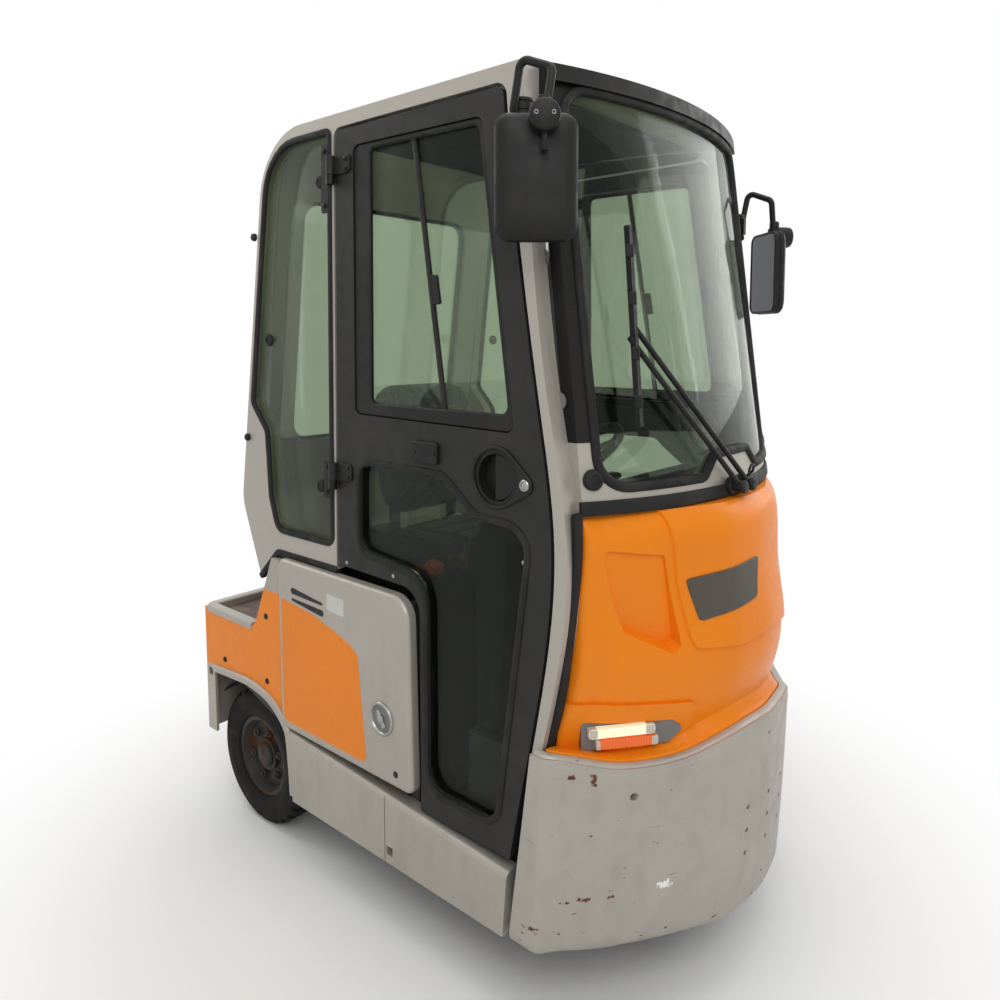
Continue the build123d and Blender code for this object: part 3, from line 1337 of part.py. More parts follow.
def build_mirror(label, level, hand):
    """One mirror: bracket on the pillar, looped arm and head."""
    turn = radians(MIRROR_TURN_DEG)
    across = Vector(sin(radians(90) - turn), sin(turn), 0)
    face = Vector(across.Y, -across.X, 0)
    head = Vector(at(MIRROR_STATION), -MIRROR_Y, level)
    foot = Vector(at(MIRROR_FOOT), -side_y(level + 130) - 8.8, level + 130)
    with BuildPart() as mirror_piece:
        with BuildSketch(Plane(origin=head - face * (MIRROR_DEPTH / 2), x_dir=across, z_dir=face)):
            RectangleRounded(MIRROR_WIDTH, MIRROR_HEIGHT, 26)
        extrude(amount=MIRROR_DEPTH)
        with BuildLine() as arm:
            FilletPolyline(
                foot,
                foot + Vector(0, -40, 0),
                foot + Vector(20, -40, 100),
                Vector(head.X + 18, foot.Y - 34, level + 200),
                head + Vector(18, 0, 90),
                radius=16,
            )
        with BuildSketch(Plane(origin=foot, z_dir=(0, -1, 0))):
            Circle(MIRROR_TUBE)
        sweep(path=arm.line)
        # Clamp between the arm and the head
        with BuildSketch(Plane(origin=head + Vector(18, 0, 78), x_dir=across, z_dir=(0, 0, 1))):
            Circle(MIRROR_KNOB)
        extrude(amount=46)
        with BuildSketch(Plane(origin=foot + Vector(0, 7.7, 0), z_dir=(0, -1, 0))):
            Rectangle(44, 60)
        extrude(amount=14)
    if hand < 0:
        keep(mirror_piece, label)
        return
    with BuildPart() as left:
        mirror(mirror_piece.part, about=Plane.XZ)
    keep(left, label)


build_mirror("mirror_right", MIRROR_Z_RIGHT, -1)
build_mirror("mirror_left", MIRROR_Z_LEFT, 1)

# Wiper parked across the windscreen: two spindles, parallel arms and the blade they carry
WIPER_Z = rise(1120)
WIPER_PITCH = 46.0
WIPER_TIP = Vector(at(1424), -330, rise(1470))
WIPER_BLADE = 400.0
with BuildPart() as wiper:
    for side_step in (0, -WIPER_PITCH):
        spindle = Vector(at(SCREEN_FOOT_FRONT) - 1, side_step, WIPER_Z)
        with BuildSketch(Plane(origin=spindle, z_dir=(1, 0, 0))):
            Circle(13)
        extrude(amount=34)
        arm_start = spindle + Vector(28, 0, 0)
        arm_end = WIPER_TIP + Vector(0, 0.3 * side_step, 0.5 * side_step)
        with BuildSketch(Plane(origin=arm_start, z_dir=arm_end - arm_start)):
            Circle(6)
        extrude(amount=(arm_end - arm_start).length)
    blade_dir = Vector(-0.12, 0.06, 1).normalized()
    with BuildSketch(Plane(origin=WIPER_TIP - blade_dir * (WIPER_BLADE / 2), z_dir=blade_dir)):
        Rectangle(12, 12)
    extrude(amount=WIPER_BLADE)
keep(wiper, "wiper")
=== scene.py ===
"""Looks of the baggage tug: finishes for the CAD solids, and the seals, trim, tread and upholstery on them."""
import math

import bmesh
import bpy
from mathutils import Matrix, Vector
from mathutils.bvhtree import BVHTree


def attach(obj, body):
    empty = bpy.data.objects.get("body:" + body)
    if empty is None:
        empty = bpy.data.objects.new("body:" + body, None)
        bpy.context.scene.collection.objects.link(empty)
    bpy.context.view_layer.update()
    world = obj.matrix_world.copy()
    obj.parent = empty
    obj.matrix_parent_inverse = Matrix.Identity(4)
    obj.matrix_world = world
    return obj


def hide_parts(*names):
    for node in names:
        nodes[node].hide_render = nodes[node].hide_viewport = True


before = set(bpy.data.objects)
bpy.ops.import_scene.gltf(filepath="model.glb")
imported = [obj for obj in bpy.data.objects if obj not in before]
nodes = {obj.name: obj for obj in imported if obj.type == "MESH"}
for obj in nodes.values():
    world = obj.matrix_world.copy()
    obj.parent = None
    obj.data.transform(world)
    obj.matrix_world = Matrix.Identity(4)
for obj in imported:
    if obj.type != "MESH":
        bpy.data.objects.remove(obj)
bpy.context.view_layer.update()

# Sizes shared with the CAD source, in metres
REAR_X = -0.761
HALF = 0.498
REAR_HALF = 0.488
CAB_FOOT_HALF = 0.4877
CAB_LEAN = math.radians(0.815)
CAB_WALL = 0.045
CAB_HEIGHT = 1.988
REAR_AXLE = 0.224
TYRE_RADIUS = 0.2
WHEELS = {
    "rear_wheel_right": ("rear_tyre_right", "rear_rim_right", REAR_AXLE, -0.4, -1),
    "rear_wheel_left": ("rear_tyre_left", "rear_rim_left", REAR_AXLE, 0.4, 1),
    "front_wheel": ("front_tyre", "front_rim", 1.31, 0.0, 1),
}
SIDES = (("right", -1), ("left", 1))


def at(station):
    """Row X of a station ahead of the body's rear end."""
    return REAR_X + station


def new_object(name, data):
    """An object in the scene."""
    made = bpy.data.objects.new(name, data)
    bpy.context.scene.collection.objects.link(made)
    return made


# Node helpers


class Nodes:
    """A node tree being built; most helpers return the socket that their node puts out."""

    def __init__(self, tree):
        self.tree = tree

    def feed(self, socket, value):
        """Set an input, or link it to an output."""
        if isinstance(value, bpy.types.NodeSocket):
            self.tree.links.new(value, socket)
        else:
            socket.default_value = value

    def add(self, kind, inputs=None, **settings):
        """A shader node with its settings and inputs."""
        made = self.tree.nodes.new("ShaderNode" + kind)
        for key, value in settings.items():
            setattr(made, key, value)
        for key, value in (inputs or {}).items():
            self.feed(made.inputs[key], value)
        return made

    def ramp(self, value, low, high, out_low=0.0, out_high=1.0):
        """A smooth step between two values."""
        inputs = {"Value": value, "From Min": low, "From Max": high, "To Min": out_low, "To Max": out_high}
        return self.add("MapRange", inputs, interpolation_type="SMOOTHSTEP").outputs["Result"]

    def calc(self, operation, a, b=0.0):
        return self.add("Math", {0: a, 1: b}, operation=operation).outputs[0]

    def mix(self, factor, a, b):
        return self.add("Mix", {0: factor, 6: a, 7: b}, data_type="RGBA").outputs[2]

    def seen(self):
        """1 for rays that show the background: from the camera, in a reflection or through glass."""
        path = self.add("LightPath").outputs
        direct = self.calc("MAXIMUM", path["Is Camera Ray"], path["Is Glossy Ray"])
        return self.calc("MAXIMUM", direct, path["Is Transmission Ray"])


class Material(Nodes):
    """A material whose inputs are set by name; where is the position on the object at rest, in metres."""

    def __init__(self, name, gloss=None):
        self.data = bpy.data.materials.new(name)
        self.data.use_nodes = True
        super().__init__(self.data.node_tree)
        self.bsdf = self.tree.nodes["Principled BSDF"]
        if gloss is not None:
            self.put("Specular IOR Level", gloss)
        self.where = self.add("TexCoord").outputs["Object"]

    def put(self, name, value):
        self.feed(self.bsdf.inputs[name], value)

    def axis(self, name):
        return self.add("SeparateXYZ", {0: self.where}).outputs[name]

    def noise(self, scale, detail=4.0, stretch=None):
        where = self.where
        if stretch:
            where = self.add("Mapping", {"Vector": where, "Scale": stretch}).outputs[0]
        return self.add("TexNoise", {"Vector": where, "Scale": scale, "Detail": detail}).outputs["Fac"]

    def wave(self, scale, way):
        return self.add("TexWave", {"Vector": self.where, "Scale": scale}, bands_direction=way).outputs["Fac"]

    def distance(self, spot, stretch):
        """Distance from a place on the object, stretched along the axes."""
        off = self.add("VectorMath", {0: self.where, 1: spot}, operation="SUBTRACT").outputs[0]
        off = self.add("VectorMath", {0: off, 1: stretch}, operation="MULTIPLY").outputs[0]
        return self.add("VectorMath", {0: off}, operation="LENGTH").outputs["Value"]

    def bump(self, height, distance, strength):
        made = self.add("Bump", {"Height": height, "Distance": distance, "Strength": strength})
        self.put("Normal", made.outputs[0])


def rgb(r, g, b):
    return (r, g, b, 1.0)


def shade(colour, factor):
    return tuple(min(1.0, c * factor) for c in colour[:3]) + (1.0,)


# Materials


def scratches(m, amount):
    """Thin marks in two directions; more where amount is larger."""
    along = m.noise(1.0, 6.0, (9.0, 9.0, 220.0))
    across = m.noise(1.0, 6.0, (190.0, 190.0, 14.0))
    patch = m.ramp(m.noise(5.0), 0.48, 0.62)
    lines = m.calc("MAXIMUM", m.ramp(along, 0.68, 0.74), m.ramp(across, 0.7, 0.76))
    return m.calc("MULTIPLY", m.calc("MULTIPLY", lines, patch), amount)


def paint(name, colour, metallic=0.0, rough=0.38, wear=0.3, grime=0.25, tone=None, gloss=0.28):
    """Sprayed paint: faint mottling, orange peel, scratches, and grime that thickens towards the ground."""
    m = Material(name, gloss)
    base = tone(m) if tone else colour
    mottle = m.noise(3.5)
    body = m.mix(m.ramp(mottle, 0.3, 0.7, 0.0, 0.35), base, shade(colour, 0.86)) if not tone else base
    low = m.ramp(m.axis("Z"), 0.15, 0.9, 1.0, 0.25)
    streaks = m.noise(1.0, 8.0, (26.0, 26.0, 3.0))
    cloud = m.noise(11.0, 8.0)
    soil = m.calc("MULTIPLY", m.ramp(m.calc("MULTIPLY", streaks, cloud), 0.2, 0.42), low)
    soil = m.calc("MULTIPLY", soil, grime)
    dirty = m.mix(soil, body, rgb(0.16, 0.13, 0.1))
    marks = scratches(m, wear)
    m.put("Base Color", m.mix(marks, dirty, shade(colour, 0.45)))
    uneven = m.ramp(m.noise(40.0), 0.3, 0.7, rough - 0.05, rough + 0.07)
    m.put("Roughness", m.calc("ADD", uneven, m.calc("MULTIPLY", soil, 0.5)))
    m.put("Metallic", metallic)
    peel = m.calc("SUBTRACT", m.noise(420.0, 2.0), m.calc("MULTIPLY", marks, 3.0))
    m.bump(peel, 0.0002, 0.35)
    return m.data


# Marks on the apron: place, radius and stretch
RUST_MARKS = [
    ((0.5425, -0.486, 0.2328), 0.024, (1.0, 1.0, 1.6)),
    ((0.591, -0.458, 0.289), 0.02, (1.0, 1.0, 3.0)),
    ((0.622, -0.425, 0.296), 0.024, (1.0, 1.0, 3.0)),
    ((0.661, -0.38, 0.296), 0.016, (1.0, 1.0, 2.5)),
    ((0.641, -0.42, 0.5595), 0.02, (1.6, 1.6, 0.8)),
    ((0.609, -0.455, 0.5654), 0.014, (1.0, 1.0, 1.2)),
]
PALE_CHIP = ((0.7297, -0.283, 0.304), 0.03, (1.0, 1.0, 1.8))


def blotch(m, spot, size, stretch):
    """A ragged mark round a place on the object."""
    far = m.distance(spot, stretch)
    ragged = m.calc("ADD", far, m.calc("MULTIPLY", m.noise(120.0, 6.0), 2 * size))
    return m.ramp(ragged, 1.35 * size, 1.6 * size, 1.0, 0.0)


def apron_paint(name, colour):
    """The bumper apron: scuffed silver paint, chipped to primer and rust towards its foot."""
    m = Material(name)
    height = m.axis("Z")
    cloud = m.noise(4.0, 8.0)
    body = m.mix(m.ramp(cloud, 0.35, 0.68), colour, shade(colour, 0.9))
    smear = m.calc("MULTIPLY", m.noise(1.0, 8.0, (20.0, 20.0, 4.0)), m.noise(17.0, 8.0))
    soil = m.ramp(smear, 0.22, 0.42, 0.0, 0.12)
    body = m.mix(soil, body, rgb(0.14, 0.125, 0.105))
    marks = scratches(m, 0.75)
    body = m.mix(marks, body, rgb(0.1, 0.09, 0.08))
    near_foot = m.ramp(height, 0.17, 0.27, 0.075, 0.0)
    chips = m.ramp(m.noise(26.0, 9.0, (1.0, 1.0, 2.2)), 0.735, 0.76)
    foot_chips = m.calc("ADD", m.noise(34.0, 9.0, (1.0, 1.0, 2.5)), near_foot)
    chips = m.calc("MAXIMUM", chips, m.ramp(foot_chips, 0.715, 0.745))
    for spot, size, stretch in RUST_MARKS:
        chips = m.calc("MAXIMUM", chips, blotch(m, spot, size, stretch))
    body = m.mix(blotch(m, *PALE_CHIP), body, rgb(0.86, 0.84, 0.8))
    rust = m.mix(m.noise(160.0), rgb(0.05, 0.025, 0.015), rgb(0.2, 0.075, 0.03))
    m.put("Base Color", m.mix(chips, body, rust))
    rough = m.ramp(m.noise(24.0, 8.0), 0.3, 0.7, 0.38, 0.58)
    m.put("Roughness", m.calc("ADD", rough, m.calc("MULTIPLY", chips, 0.3)))
    m.put("Metallic", 0.35)
    relief = m.calc("SUBTRACT", m.noise(330.0, 2.0), m.calc("MULTIPLY", chips, 2.0))
    m.bump(relief, 0.0003, 0.4)
    return m.data


def moulded(name, colour, rough=0.55, grain=900.0, dust=0.15, depth=0.0003, gloss=0.22):
    """Textured plastic, rubber or powder coat, with dust in cloudy patches."""
    m = Material(name, gloss)
    fine = m.noise(grain, 3.0)
    cloud = m.ramp(m.noise(7.0, 8.0), 0.45, 0.75, 0.0, dust)
    tone = m.mix(fine, shade(colour, 0.9), shade(colour, 1.1))
    m.put("Base Color", m.mix(cloud, tone, rgb(0.17, 0.15, 0.13)))
    uneven = m.ramp(m.noise(30.0), 0.3, 0.7, rough - 0.08, rough + 0.1)
    m.put("Roughness", uneven)
    m.bump(fine, depth, 0.5)
    return m.data


def tyre_rubber(name):
    """Rubber with ground-in dust in cloudy patches."""
    m = Material(name, 0.15)
    cloud = m.noise(14.0, 9.0)
    fine = m.noise(500.0, 3.0)
    tone = m.mix(fine, rgb(0.009, 0.0085, 0.008), rgb(0.019, 0.018, 0.016))
    dust = m.ramp(cloud, 0.45, 0.75, 0.0, 0.2)
    m.put("Base Color", m.mix(dust, tone, rgb(0.12, 0.1, 0.08)))
    m.put("Roughness", m.ramp(cloud, 0.3, 0.7, 0.72, 0.92))
    m.bump(m.calc("ADD", fine, cloud), 0.0006, 0.5)
    return m.data


def rusty_rim(name):
    """Dark wheel paint, rusted through in patches."""
    m = Material(name, 0.2)
    patch = m.ramp(m.noise(16.0, 9.0), 0.5, 0.64)
    coarse = m.noise(110.0, 8.0)
    rust = m.mix(coarse, rgb(0.035, 0.018, 0.011), rgb(0.11, 0.05, 0.025))
    coat = m.mix(m.noise(5.0), rgb(0.022, 0.02, 0.018), rgb(0.048, 0.041, 0.035))
    m.put("Base Color", m.mix(patch, coat, rust))
    m.put("Roughness", m.ramp(patch, 0.0, 1.0, 0.5, 0.88))
    m.bump(m.calc("MULTIPLY", coarse, patch), 0.0012, 0.6)
    return m.data


def bare_metal(name, colour, rough=0.3):
    """Machined or plated metal with fine brushing."""
    m = Material(name)
    brush = m.noise(1.0, 4.0, (60.0, 900.0, 900.0))
    m.put("Base Color", m.mix(brush, shade(colour, 0.85), colour))
    m.put("Roughness", m.ramp(brush, 0.2, 0.8, rough - 0.08, rough + 0.12))
    m.put("Metallic", 1.0)
    m.bump(brush, 0.0001, 0.3)
    return m.data


def tinted_glass(name, colour, alpha):
    """Tinted safety glass with a thin film of dust."""
    m = Material(name)
    film = m.noise(6.0, 8.0)
    m.put("Base Color", m.mix(m.ramp(film, 0.4, 0.8, 0.0, 0.3), colour, shade(colour, 1.12)))
    m.put("Roughness", 0.0)
    m.put("IOR", 1.2)
    m.put("Transmission Weight", 1.0)
    m.put("Alpha", alpha)
    return m.data


def lens(name, colour, rough, glow, ribs):
    """Moulded lamp lens with fluting, with a faint painted glow from its emission."""
    m = Material(name)
    wave = m.wave(ribs, "Y")
    m.put("Base Color", m.mix(wave, shade(colour, 0.8), colour))
    m.put("Roughness", m.ramp(wave, 0.0, 1.0, rough, rough + 0.1))
    # Painted glow: the lens gives off a faint light in its own colour
    m.put("Emission Color", colour)
    m.put("Emission Strength", glow)
    m.bump(wave, 0.0015, 0.7)
    return m.data


def deck_film(name):
    """Phenolic-faced plywood with its pressed anti-slip grid."""
    m = Material(name)
    grid = m.calc("MAXIMUM", m.wave(38.0, "X"), m.wave(38.0, "Y"))
    cloud = m.noise(9.0, 8.0)
    tone = m.mix(cloud, rgb(0.045, 0.026, 0.018), rgb(0.1, 0.06, 0.042))
    worn = m.ramp(m.noise(18.0, 9.0), 0.5, 0.7, 0.0, 0.5)
    m.put("Base Color", m.mix(worn, tone, rgb(0.2, 0.145, 0.105)))
    m.put("Roughness", m.ramp(cloud, 0.3, 0.7, 0.55, 0.75))
    m.bump(grid, 0.0008, 0.6)
    return m.data


def seat_cloth(name, colour):
    """Woven seat cloth, threads about 1.5 mm apart."""
    m = Material(name)
    weave = m.calc("MULTIPLY", m.wave(210.0, "Y"), m.wave(210.0, "DIAGONAL"))
    fleck = m.noise(240.0, 3.0)
    tone = m.mix(weave, shade(colour, 0.8), shade(colour, 1.12))
    m.put("Base Color", m.mix(m.ramp(fleck, 0.6, 0.75, 0.0, 0.4), tone, rgb(0.16, 0.16, 0.17)))
    m.put("Roughness", m.ramp(m.noise(20.0), 0.3, 0.7, 0.8, 0.95))
    m.put("Sheen Weight", 0.3)
    m.bump(weave, 0.0008, 0.6)
    return m.data


def two_tone_and_arch_shade(m):
    """Orange side panel: silver above the line where the battery cover's field starts, black in the wheel arch as
    painted shade of the gap round the tyre.
    """
    painted = m.mix(m.ramp(m.axis("Z"), 0.7455, 0.7465), ORANGE, SILVER)
    reach = m.distance((at(REAR_AXLE), 0, TYRE_RADIUS), (1, 0, 1))
    # Painted shade: the panel is black within the arch's radius, standing for the dark gap round the tyre
    return m.mix(m.ramp(reach, 0.251, 0.2515), BLACK, painted)


def black_beyond_side(m):
    """Silver cab side, with the hinge lugs that stand out of its plane in black."""
    split = m.add("SeparateXYZ", {0: m.where})
    out = m.calc("ABSOLUTE", split.outputs["Y"])
    lean = m.calc("MULTIPLY", split.outputs["Z"], math.tan(CAB_LEAN))
    proud = m.calc("SUBTRACT", m.calc("ADD", out, lean), CAB_FOOT_HALF)
    return m.mix(m.ramp(proud, 0.0008, 0.0012), SILVER, BLACK)


def black_above(m):
    """Silver scuttle, with the black border round the windscreen above it."""
    return m.mix(m.ramp(m.axis("Z"), 1.238, 1.24), SILVER, BLACK)


ORANGE = rgb(0.92, 0.25, 0.008)
SILVER = rgb(0.425, 0.392, 0.345)
CHARCOAL = rgb(0.021, 0.0205, 0.019)
BLACK = rgb(0.0105, 0.01, 0.0095)

MATERIALS = {
    "orange": paint("orange_paint", ORANGE, rough=0.31, wear=0.2, grime=0.06, gloss=0.2),
    "panel": paint("panel_paint", ORANGE, rough=0.32, wear=0.2, grime=0.08, tone=two_tone_and_arch_shade, gloss=0.2),
    "silver": paint("silver_paint", SILVER, metallic=0.35, rough=0.38, wear=0.35, grime=0.14),
    "front": paint("screen_frame_paint", SILVER, metallic=0.35, rough=0.38, wear=0.2, grime=0.1, tone=black_above),
    "side": paint("cab_side_paint", SILVER, metallic=0.35, rough=0.38, wear=0.25, grime=0.1, tone=black_beyond_side),
    "apron": apron_paint("apron_paint", shade(SILVER, 1.02)),
    "charcoal": moulded("charcoal_coat", CHARCOAL, rough=0.5, grain=1400.0, dust=0.06, depth=0.0002),
    "black": moulded("black_plastic", BLACK, rough=0.48, grain=1100.0, dust=0.06),
    "rubber": moulded("seal_rubber", rgb(0.013, 0.0125, 0.012), rough=0.62, grain=500.0, dust=0.1),
    "grey": moulded("grey_plastic", rgb(0.2, 0.195, 0.19), rough=0.5, grain=900.0, dust=0.1),
    # Cab trim: dark plastic, darkened further as painted shade of the cab's inside
    "inside": moulded("cab_trim_painted_shade", rgb(0.013, 0.0135, 0.012), rough=0.65, grain=250.0, dust=0.06, depth=0.00006,
                      gloss=0.12),
    "frame": paint("frame_black", rgb(0.025, 0.025, 0.026), rough=0.5, wear=0.4, grime=0.5),
    "tyre": tyre_rubber("tyre_rubber"),
    "rim": rusty_rim("rim_paint"),
    "steel": bare_metal("plated_steel", rgb(0.36, 0.355, 0.335)),
    # Mirror glass: a near-black metal whose colour is a painted dark reflection, not a mirror's own bright one
    "mirror": bare_metal("mirror_glass_painted_reflection", rgb(0.075, 0.077, 0.085), rough=0.1),
    "glass": tinted_glass("tinted_glass", rgb(0.41, 0.49, 0.375), 0.85),
    # Lamp lenses, each with a faint painted glow
    "clear": lens("lamp_clear", rgb(0.9, 0.8, 0.56), 0.08, 0.55, 60.0),
    "lamp_cap": moulded("lamp_cap_clear", rgb(0.62, 0.58, 0.5), rough=0.18, grain=300.0, dust=0.05, depth=0.0001),
    "amber": lens("lamp_amber", rgb(0.85, 0.14, 0.015), 0.15, 0.25, 70.0),
    "tail": lens("lamp_red", rgb(0.5, 0.012, 0.01), 0.15, 0.1, 60.0),
    "red": moulded("stop_red", rgb(0.45, 0.03, 0.02), rough=0.35, grain=300.0, dust=0.05),
    "badge": paint("badge_plate", rgb(0.098, 0.086, 0.072), metallic=0.5, rough=0.36, wear=0.15, grime=0.1),
    # Roof lining: dark, darkened further as painted shade of the cab's inside
    "lining": moulded("roof_lining_painted_shade", rgb(0.022, 0.023, 0.022), rough=0.85, grain=250.0, dust=0.05,
                      depth=0.00006, gloss=0.1),
    "display": moulded("blank_display", rgb(0.01, 0.012, 0.012), rough=0.16, grain=120.0, dust=0.05, depth=0.00005),
    "deck": deck_film("deck_film"),
    "cloth": seat_cloth("seat_cloth", rgb(0.05, 0.05, 0.052)),
    "label": moulded("label_film", rgb(0.62, 0.61, 0.57), rough=0.45, grain=300.0, dust=0.1),
}

# Finishes paired with slot names: the pairs are built and dropped, not kept
dict.fromkeys(("black", "rubber", "badge", "display"), "black_plastic")
dict.fromkeys(("grey", "steel", "mirror", "label"), "lamp_grey")

FINISH = {
    "orange": ["bonnet", "rear_fascia"],
    "panel": ["rear_panel_right", "rear_panel_left"],
    "apron": ["front_apron"],
    "silver": [
        "sill_right", "sill_left", "battery_cover_right", "battery_cover_left", "rear_skirt",
        "cab_roof", "cab_rear_frame",
    ],
    "front": ["cab_front_frame"],
    "side": ["cab_side_right", "cab_side_left"],
    "charcoal": ["door_right", "door_left"],
    "glass": ["windscreen", "rear_window", "quarter_windows", "door_glass_right", "door_glass_left"],
    "black": [
        "door_handle_right", "door_handle_left", "mirror_right", "mirror_left", "wiper", "steering_wheel",
        "screen_visor",
    ],
    "inside": ["dashboard", "steering_column", "seat_base", "rear_bulkhead", "battery_hood"],
    "cloth": ["seat_cushion", "seat_back"],
    "frame": ["chassis_frame", "rear_axle", "steer_fork", "tow_hitch", "battery"],
    "rim": ["front_rim", "rear_rim_right", "rear_rim_left"],
    "tyre": ["front_tyre", "rear_tyre_right", "rear_tyre_left"],
    "deck": ["rear_deck"],
    "grey": ["lamp_housings"],
    "clear": ["headlamps"],
    "amber": ["indicators"],
    "tail": ["tail_lamps"],
    "red": ["stop_button"],
}
for finish, names in FINISH.items():
    for name in names:
        nodes[name].data.materials.clear()
        nodes[name].data.materials.append(MATERIALS[finish])


# Shape helpers: points are gathered in the row frame and become one piece


def circle(steps):
    """Cosine and sine at even steps round a circle."""
    return [(math.cos(2 * math.pi * i / steps), math.sin(2 * math.pi * i / steps)) for i in range(steps)]


class Shape:
    """Faces gathered for one piece."""

    def __init__(self):
        self.points = []
        self.faces = []

    def skin(self, rows, wrap=True, loop=False, caps=True):
        """Quads between rows of points; wrap closes each row, and loop joins the last row to the first."""
        start, count = len(self.points), len(rows[0])
        for row in rows:
            self.points += [Vector(p) for p in row]
        last = len(rows) if loop else len(rows) - 1
        for r in range(last):
            a, b = start + r * count, start + ((r + 1) % len(rows)) * count
            for c in range(count if wrap else count - 1):
                n = (c + 1) % count
                self.faces.append((a + c, a + n, b + n, b + c))
        if caps and not loop:
            self.faces.append(tuple(range(start + count - 1, start - 1, -1)))
            end = start + (len(rows) - 1) * count
            self.faces.append(tuple(range(end, end + count)))

    def prism(self, outline, frame_matrix, depth, chamfer=0.0):
        """A plate: a flat outline raised along the frame's Z, with its upper edge chamfered."""
        rows = [[(x, y, 0) for x, y in outline], [(x, y, depth - chamfer) for x, y in outline]]
        if chamfer:
            rows.append([(x, y, depth) for x, y in inset(outline, chamfer)])
        self.skin([[frame_matrix @ Vector(p) for p in row] for row in rows])

    def lathe(self, profile, frame_matrix, steps=24):
        """A turned form: radius and height pairs turned about the frame's Z."""
        self.skin([[frame_matrix @ Vector((r * c, r * s, h)) for c, s in circle(steps)] for r, h in profile])

    def ring(self, profile, frame_matrix, steps=32):
        """A turned ring: a closed profile of radius and height pairs turned about the frame's Z."""
        rows = [[frame_matrix @ Vector((r * c, r * s, h)) for r, h in profile] for c, s in circle(steps)]
        self.skin(rows, loop=True)

    def band(self, outer, inner, frame_matrix, low, high, chamfer):
        """A flat frame between two outlines, with its upper edges chamfered."""
        rows = [
            [(x, y, low) for x, y in outer],
            [(x, y, high - chamfer) for x, y in outer],
            [(x, y, high) for x, y in inset(outer, chamfer)],
            [(x, y, high) for x, y in inset(inner, -chamfer)],
            [(x, y, high - chamfer) for x, y in inner],
            [(x, y, low) for x, y in inner],
        ]
        self.skin([[frame_matrix @ Vector(p) for p in row] for row in rows], loop=True)

    def sweep(self, path, section, closed, normals):
        """A section of side and out offsets carried along a path; normals: the way out, one or one to each point."""
        rows = []
        for i, point in enumerate(path):
            before = path[i - 1] if i or closed else path[i]
            after = path[(i + 1) % len(path)] if i + 1 < len(path) or closed else path[i]
            tangent = (after - before).normalized()
            out = normals if isinstance(normals, Vector) else normals[i]
            side = tangent.cross(out).normalized()
            out = side.cross(tangent).normalized()
            rows.append([point + side * s + out * o for s, o in section])
        self.skin(rows, loop=closed)

    def tube(self, path, radius, steps=10):
        """A round bar along a path."""
        section = [(radius * c, radius * s) for c, s in circle(steps)]
        normals = []
        for i in range(len(path)):
            tangent = (path[min(i + 1, len(path) - 1)] - path[max(i - 1, 0)]).normalized()
            normals.append(Vector((0, 0, 1)) if abs(tangent.z) < 0.9 else Vector((1, 0, 0)))
        self.sweep(path, section, False, normals)

    def piece(self, name, finish, body="chassis", smooth=40.0):
        """The piece in Blender, riding on a body."""
        mesh = bpy.data.meshes.new(name)
        mesh.from_pydata([tuple(p) for p in self.points], [], self.faces)
        work = bmesh.new()
        work.from_mesh(mesh)
        bmesh.ops.remove_doubles(work, verts=work.verts, dist=1e-6)
        bmesh.ops.recalc_face_normals(work, faces=work.faces)
        work.to_mesh(mesh)
        work.free()
        mesh.materials.append(MATERIALS[finish])
        made = new_object(name, mesh)
        mesh.shade_smooth()
        mesh.set_sharp_from_angle(angle=math.radians(smooth))
        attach(made, body)
        return made


def inset(outline, amount):
    """A closed outline moved inwards, corner by corner."""
    area = sum(a[0] * b[1] - b[0] * a[1] for a, b in zip(outline, outline[1:] + outline[:1]))
    turn = 1 if area > 0 else -1
    moved = []
    for i, (x, y) in enumerate(outline):
        (ax, ay), (bx, by) = outline[i - 1], outline[(i + 1) % len(outline)]
        u = Vector((x - ax, y - ay)).normalized()
        v = Vector((bx - x, by - y)).normalized()
        normal = Vector((-(u.y + v.y), u.x + v.x)).normalized() * turn
        miter = 1 / max(0.4, abs(normal.dot(Vector((-u.y, u.x)))))
        moved.append((x + normal.x * amount * miter, y + normal.y * amount * miter))
    return moved


def rounded(corners, steps=7):
    """A closed outline from corners given as x, y and radius."""
    points = []
    for i, (x, y, radius) in enumerate(corners):
        here = Vector((x, y))
        u = (Vector(corners[i - 1][:2]) - here).normalized()
        v = (Vector(corners[(i + 1) % len(corners)][:2]) - here).normalized()
        angle = u.angle(v)
        reach = radius / math.tan(angle / 2)
        start, end = here + u * reach, here + v * reach
        centre = here + (u + v).normalized() * (radius / math.sin(angle / 2))
        first = start - centre
        sweep = (end - centre).angle_signed(first) if radius else 0.0
        for k in range(steps + 1 if radius else 1):
            spin = Matrix.Rotation(sweep * k / steps if radius else 0.0, 2)
            p = centre + spin @ first if radius else here
            points.append((p.x, p.y))
    return points


def oblong(left, right, low, high, radius, steps=7):
    """A rectangle with rounded corners."""
    return rounded([(left, low, radius), (right, low, radius), (right, high, radius), (left, high, radius)], steps)


def mirrored(half):
    """A section from its left half."""
    return half + [(-side, out) for side, out in reversed(half)]


def shift(x, y, z):
    return Matrix.Translation((x, y, z))


def laid(frame_matrix, outline):
    """A flat outline's points in a frame."""
    return [frame_matrix @ Vector((x, y, 0)) for x, y in outline]


def smooth_line(points, steps):
    """A smooth line through points: steps to each run."""
    ends = [points[0] * 2 - points[1]] + list(points) + [points[-1] * 2 - points[-2]]
    line = []
    for a, b, c, d in zip(ends, ends[1:], ends[2:], ends[3:]):
        for k in range(steps):
            t = k / steps
            bend, twist = 2 * a - 5 * b + 4 * c - d, 3 * b - a - 3 * c + d
            line.append(0.5 * (2 * b + (c - a) * t + bend * t * t + twist * t ** 3))
    return line + [points[-1]]


def curve_through(points, steps):
    """A smooth flat line through points given as pairs."""
    return [(p.x, p.y) for p in smooth_line([Vector(p) for p in points], steps)]


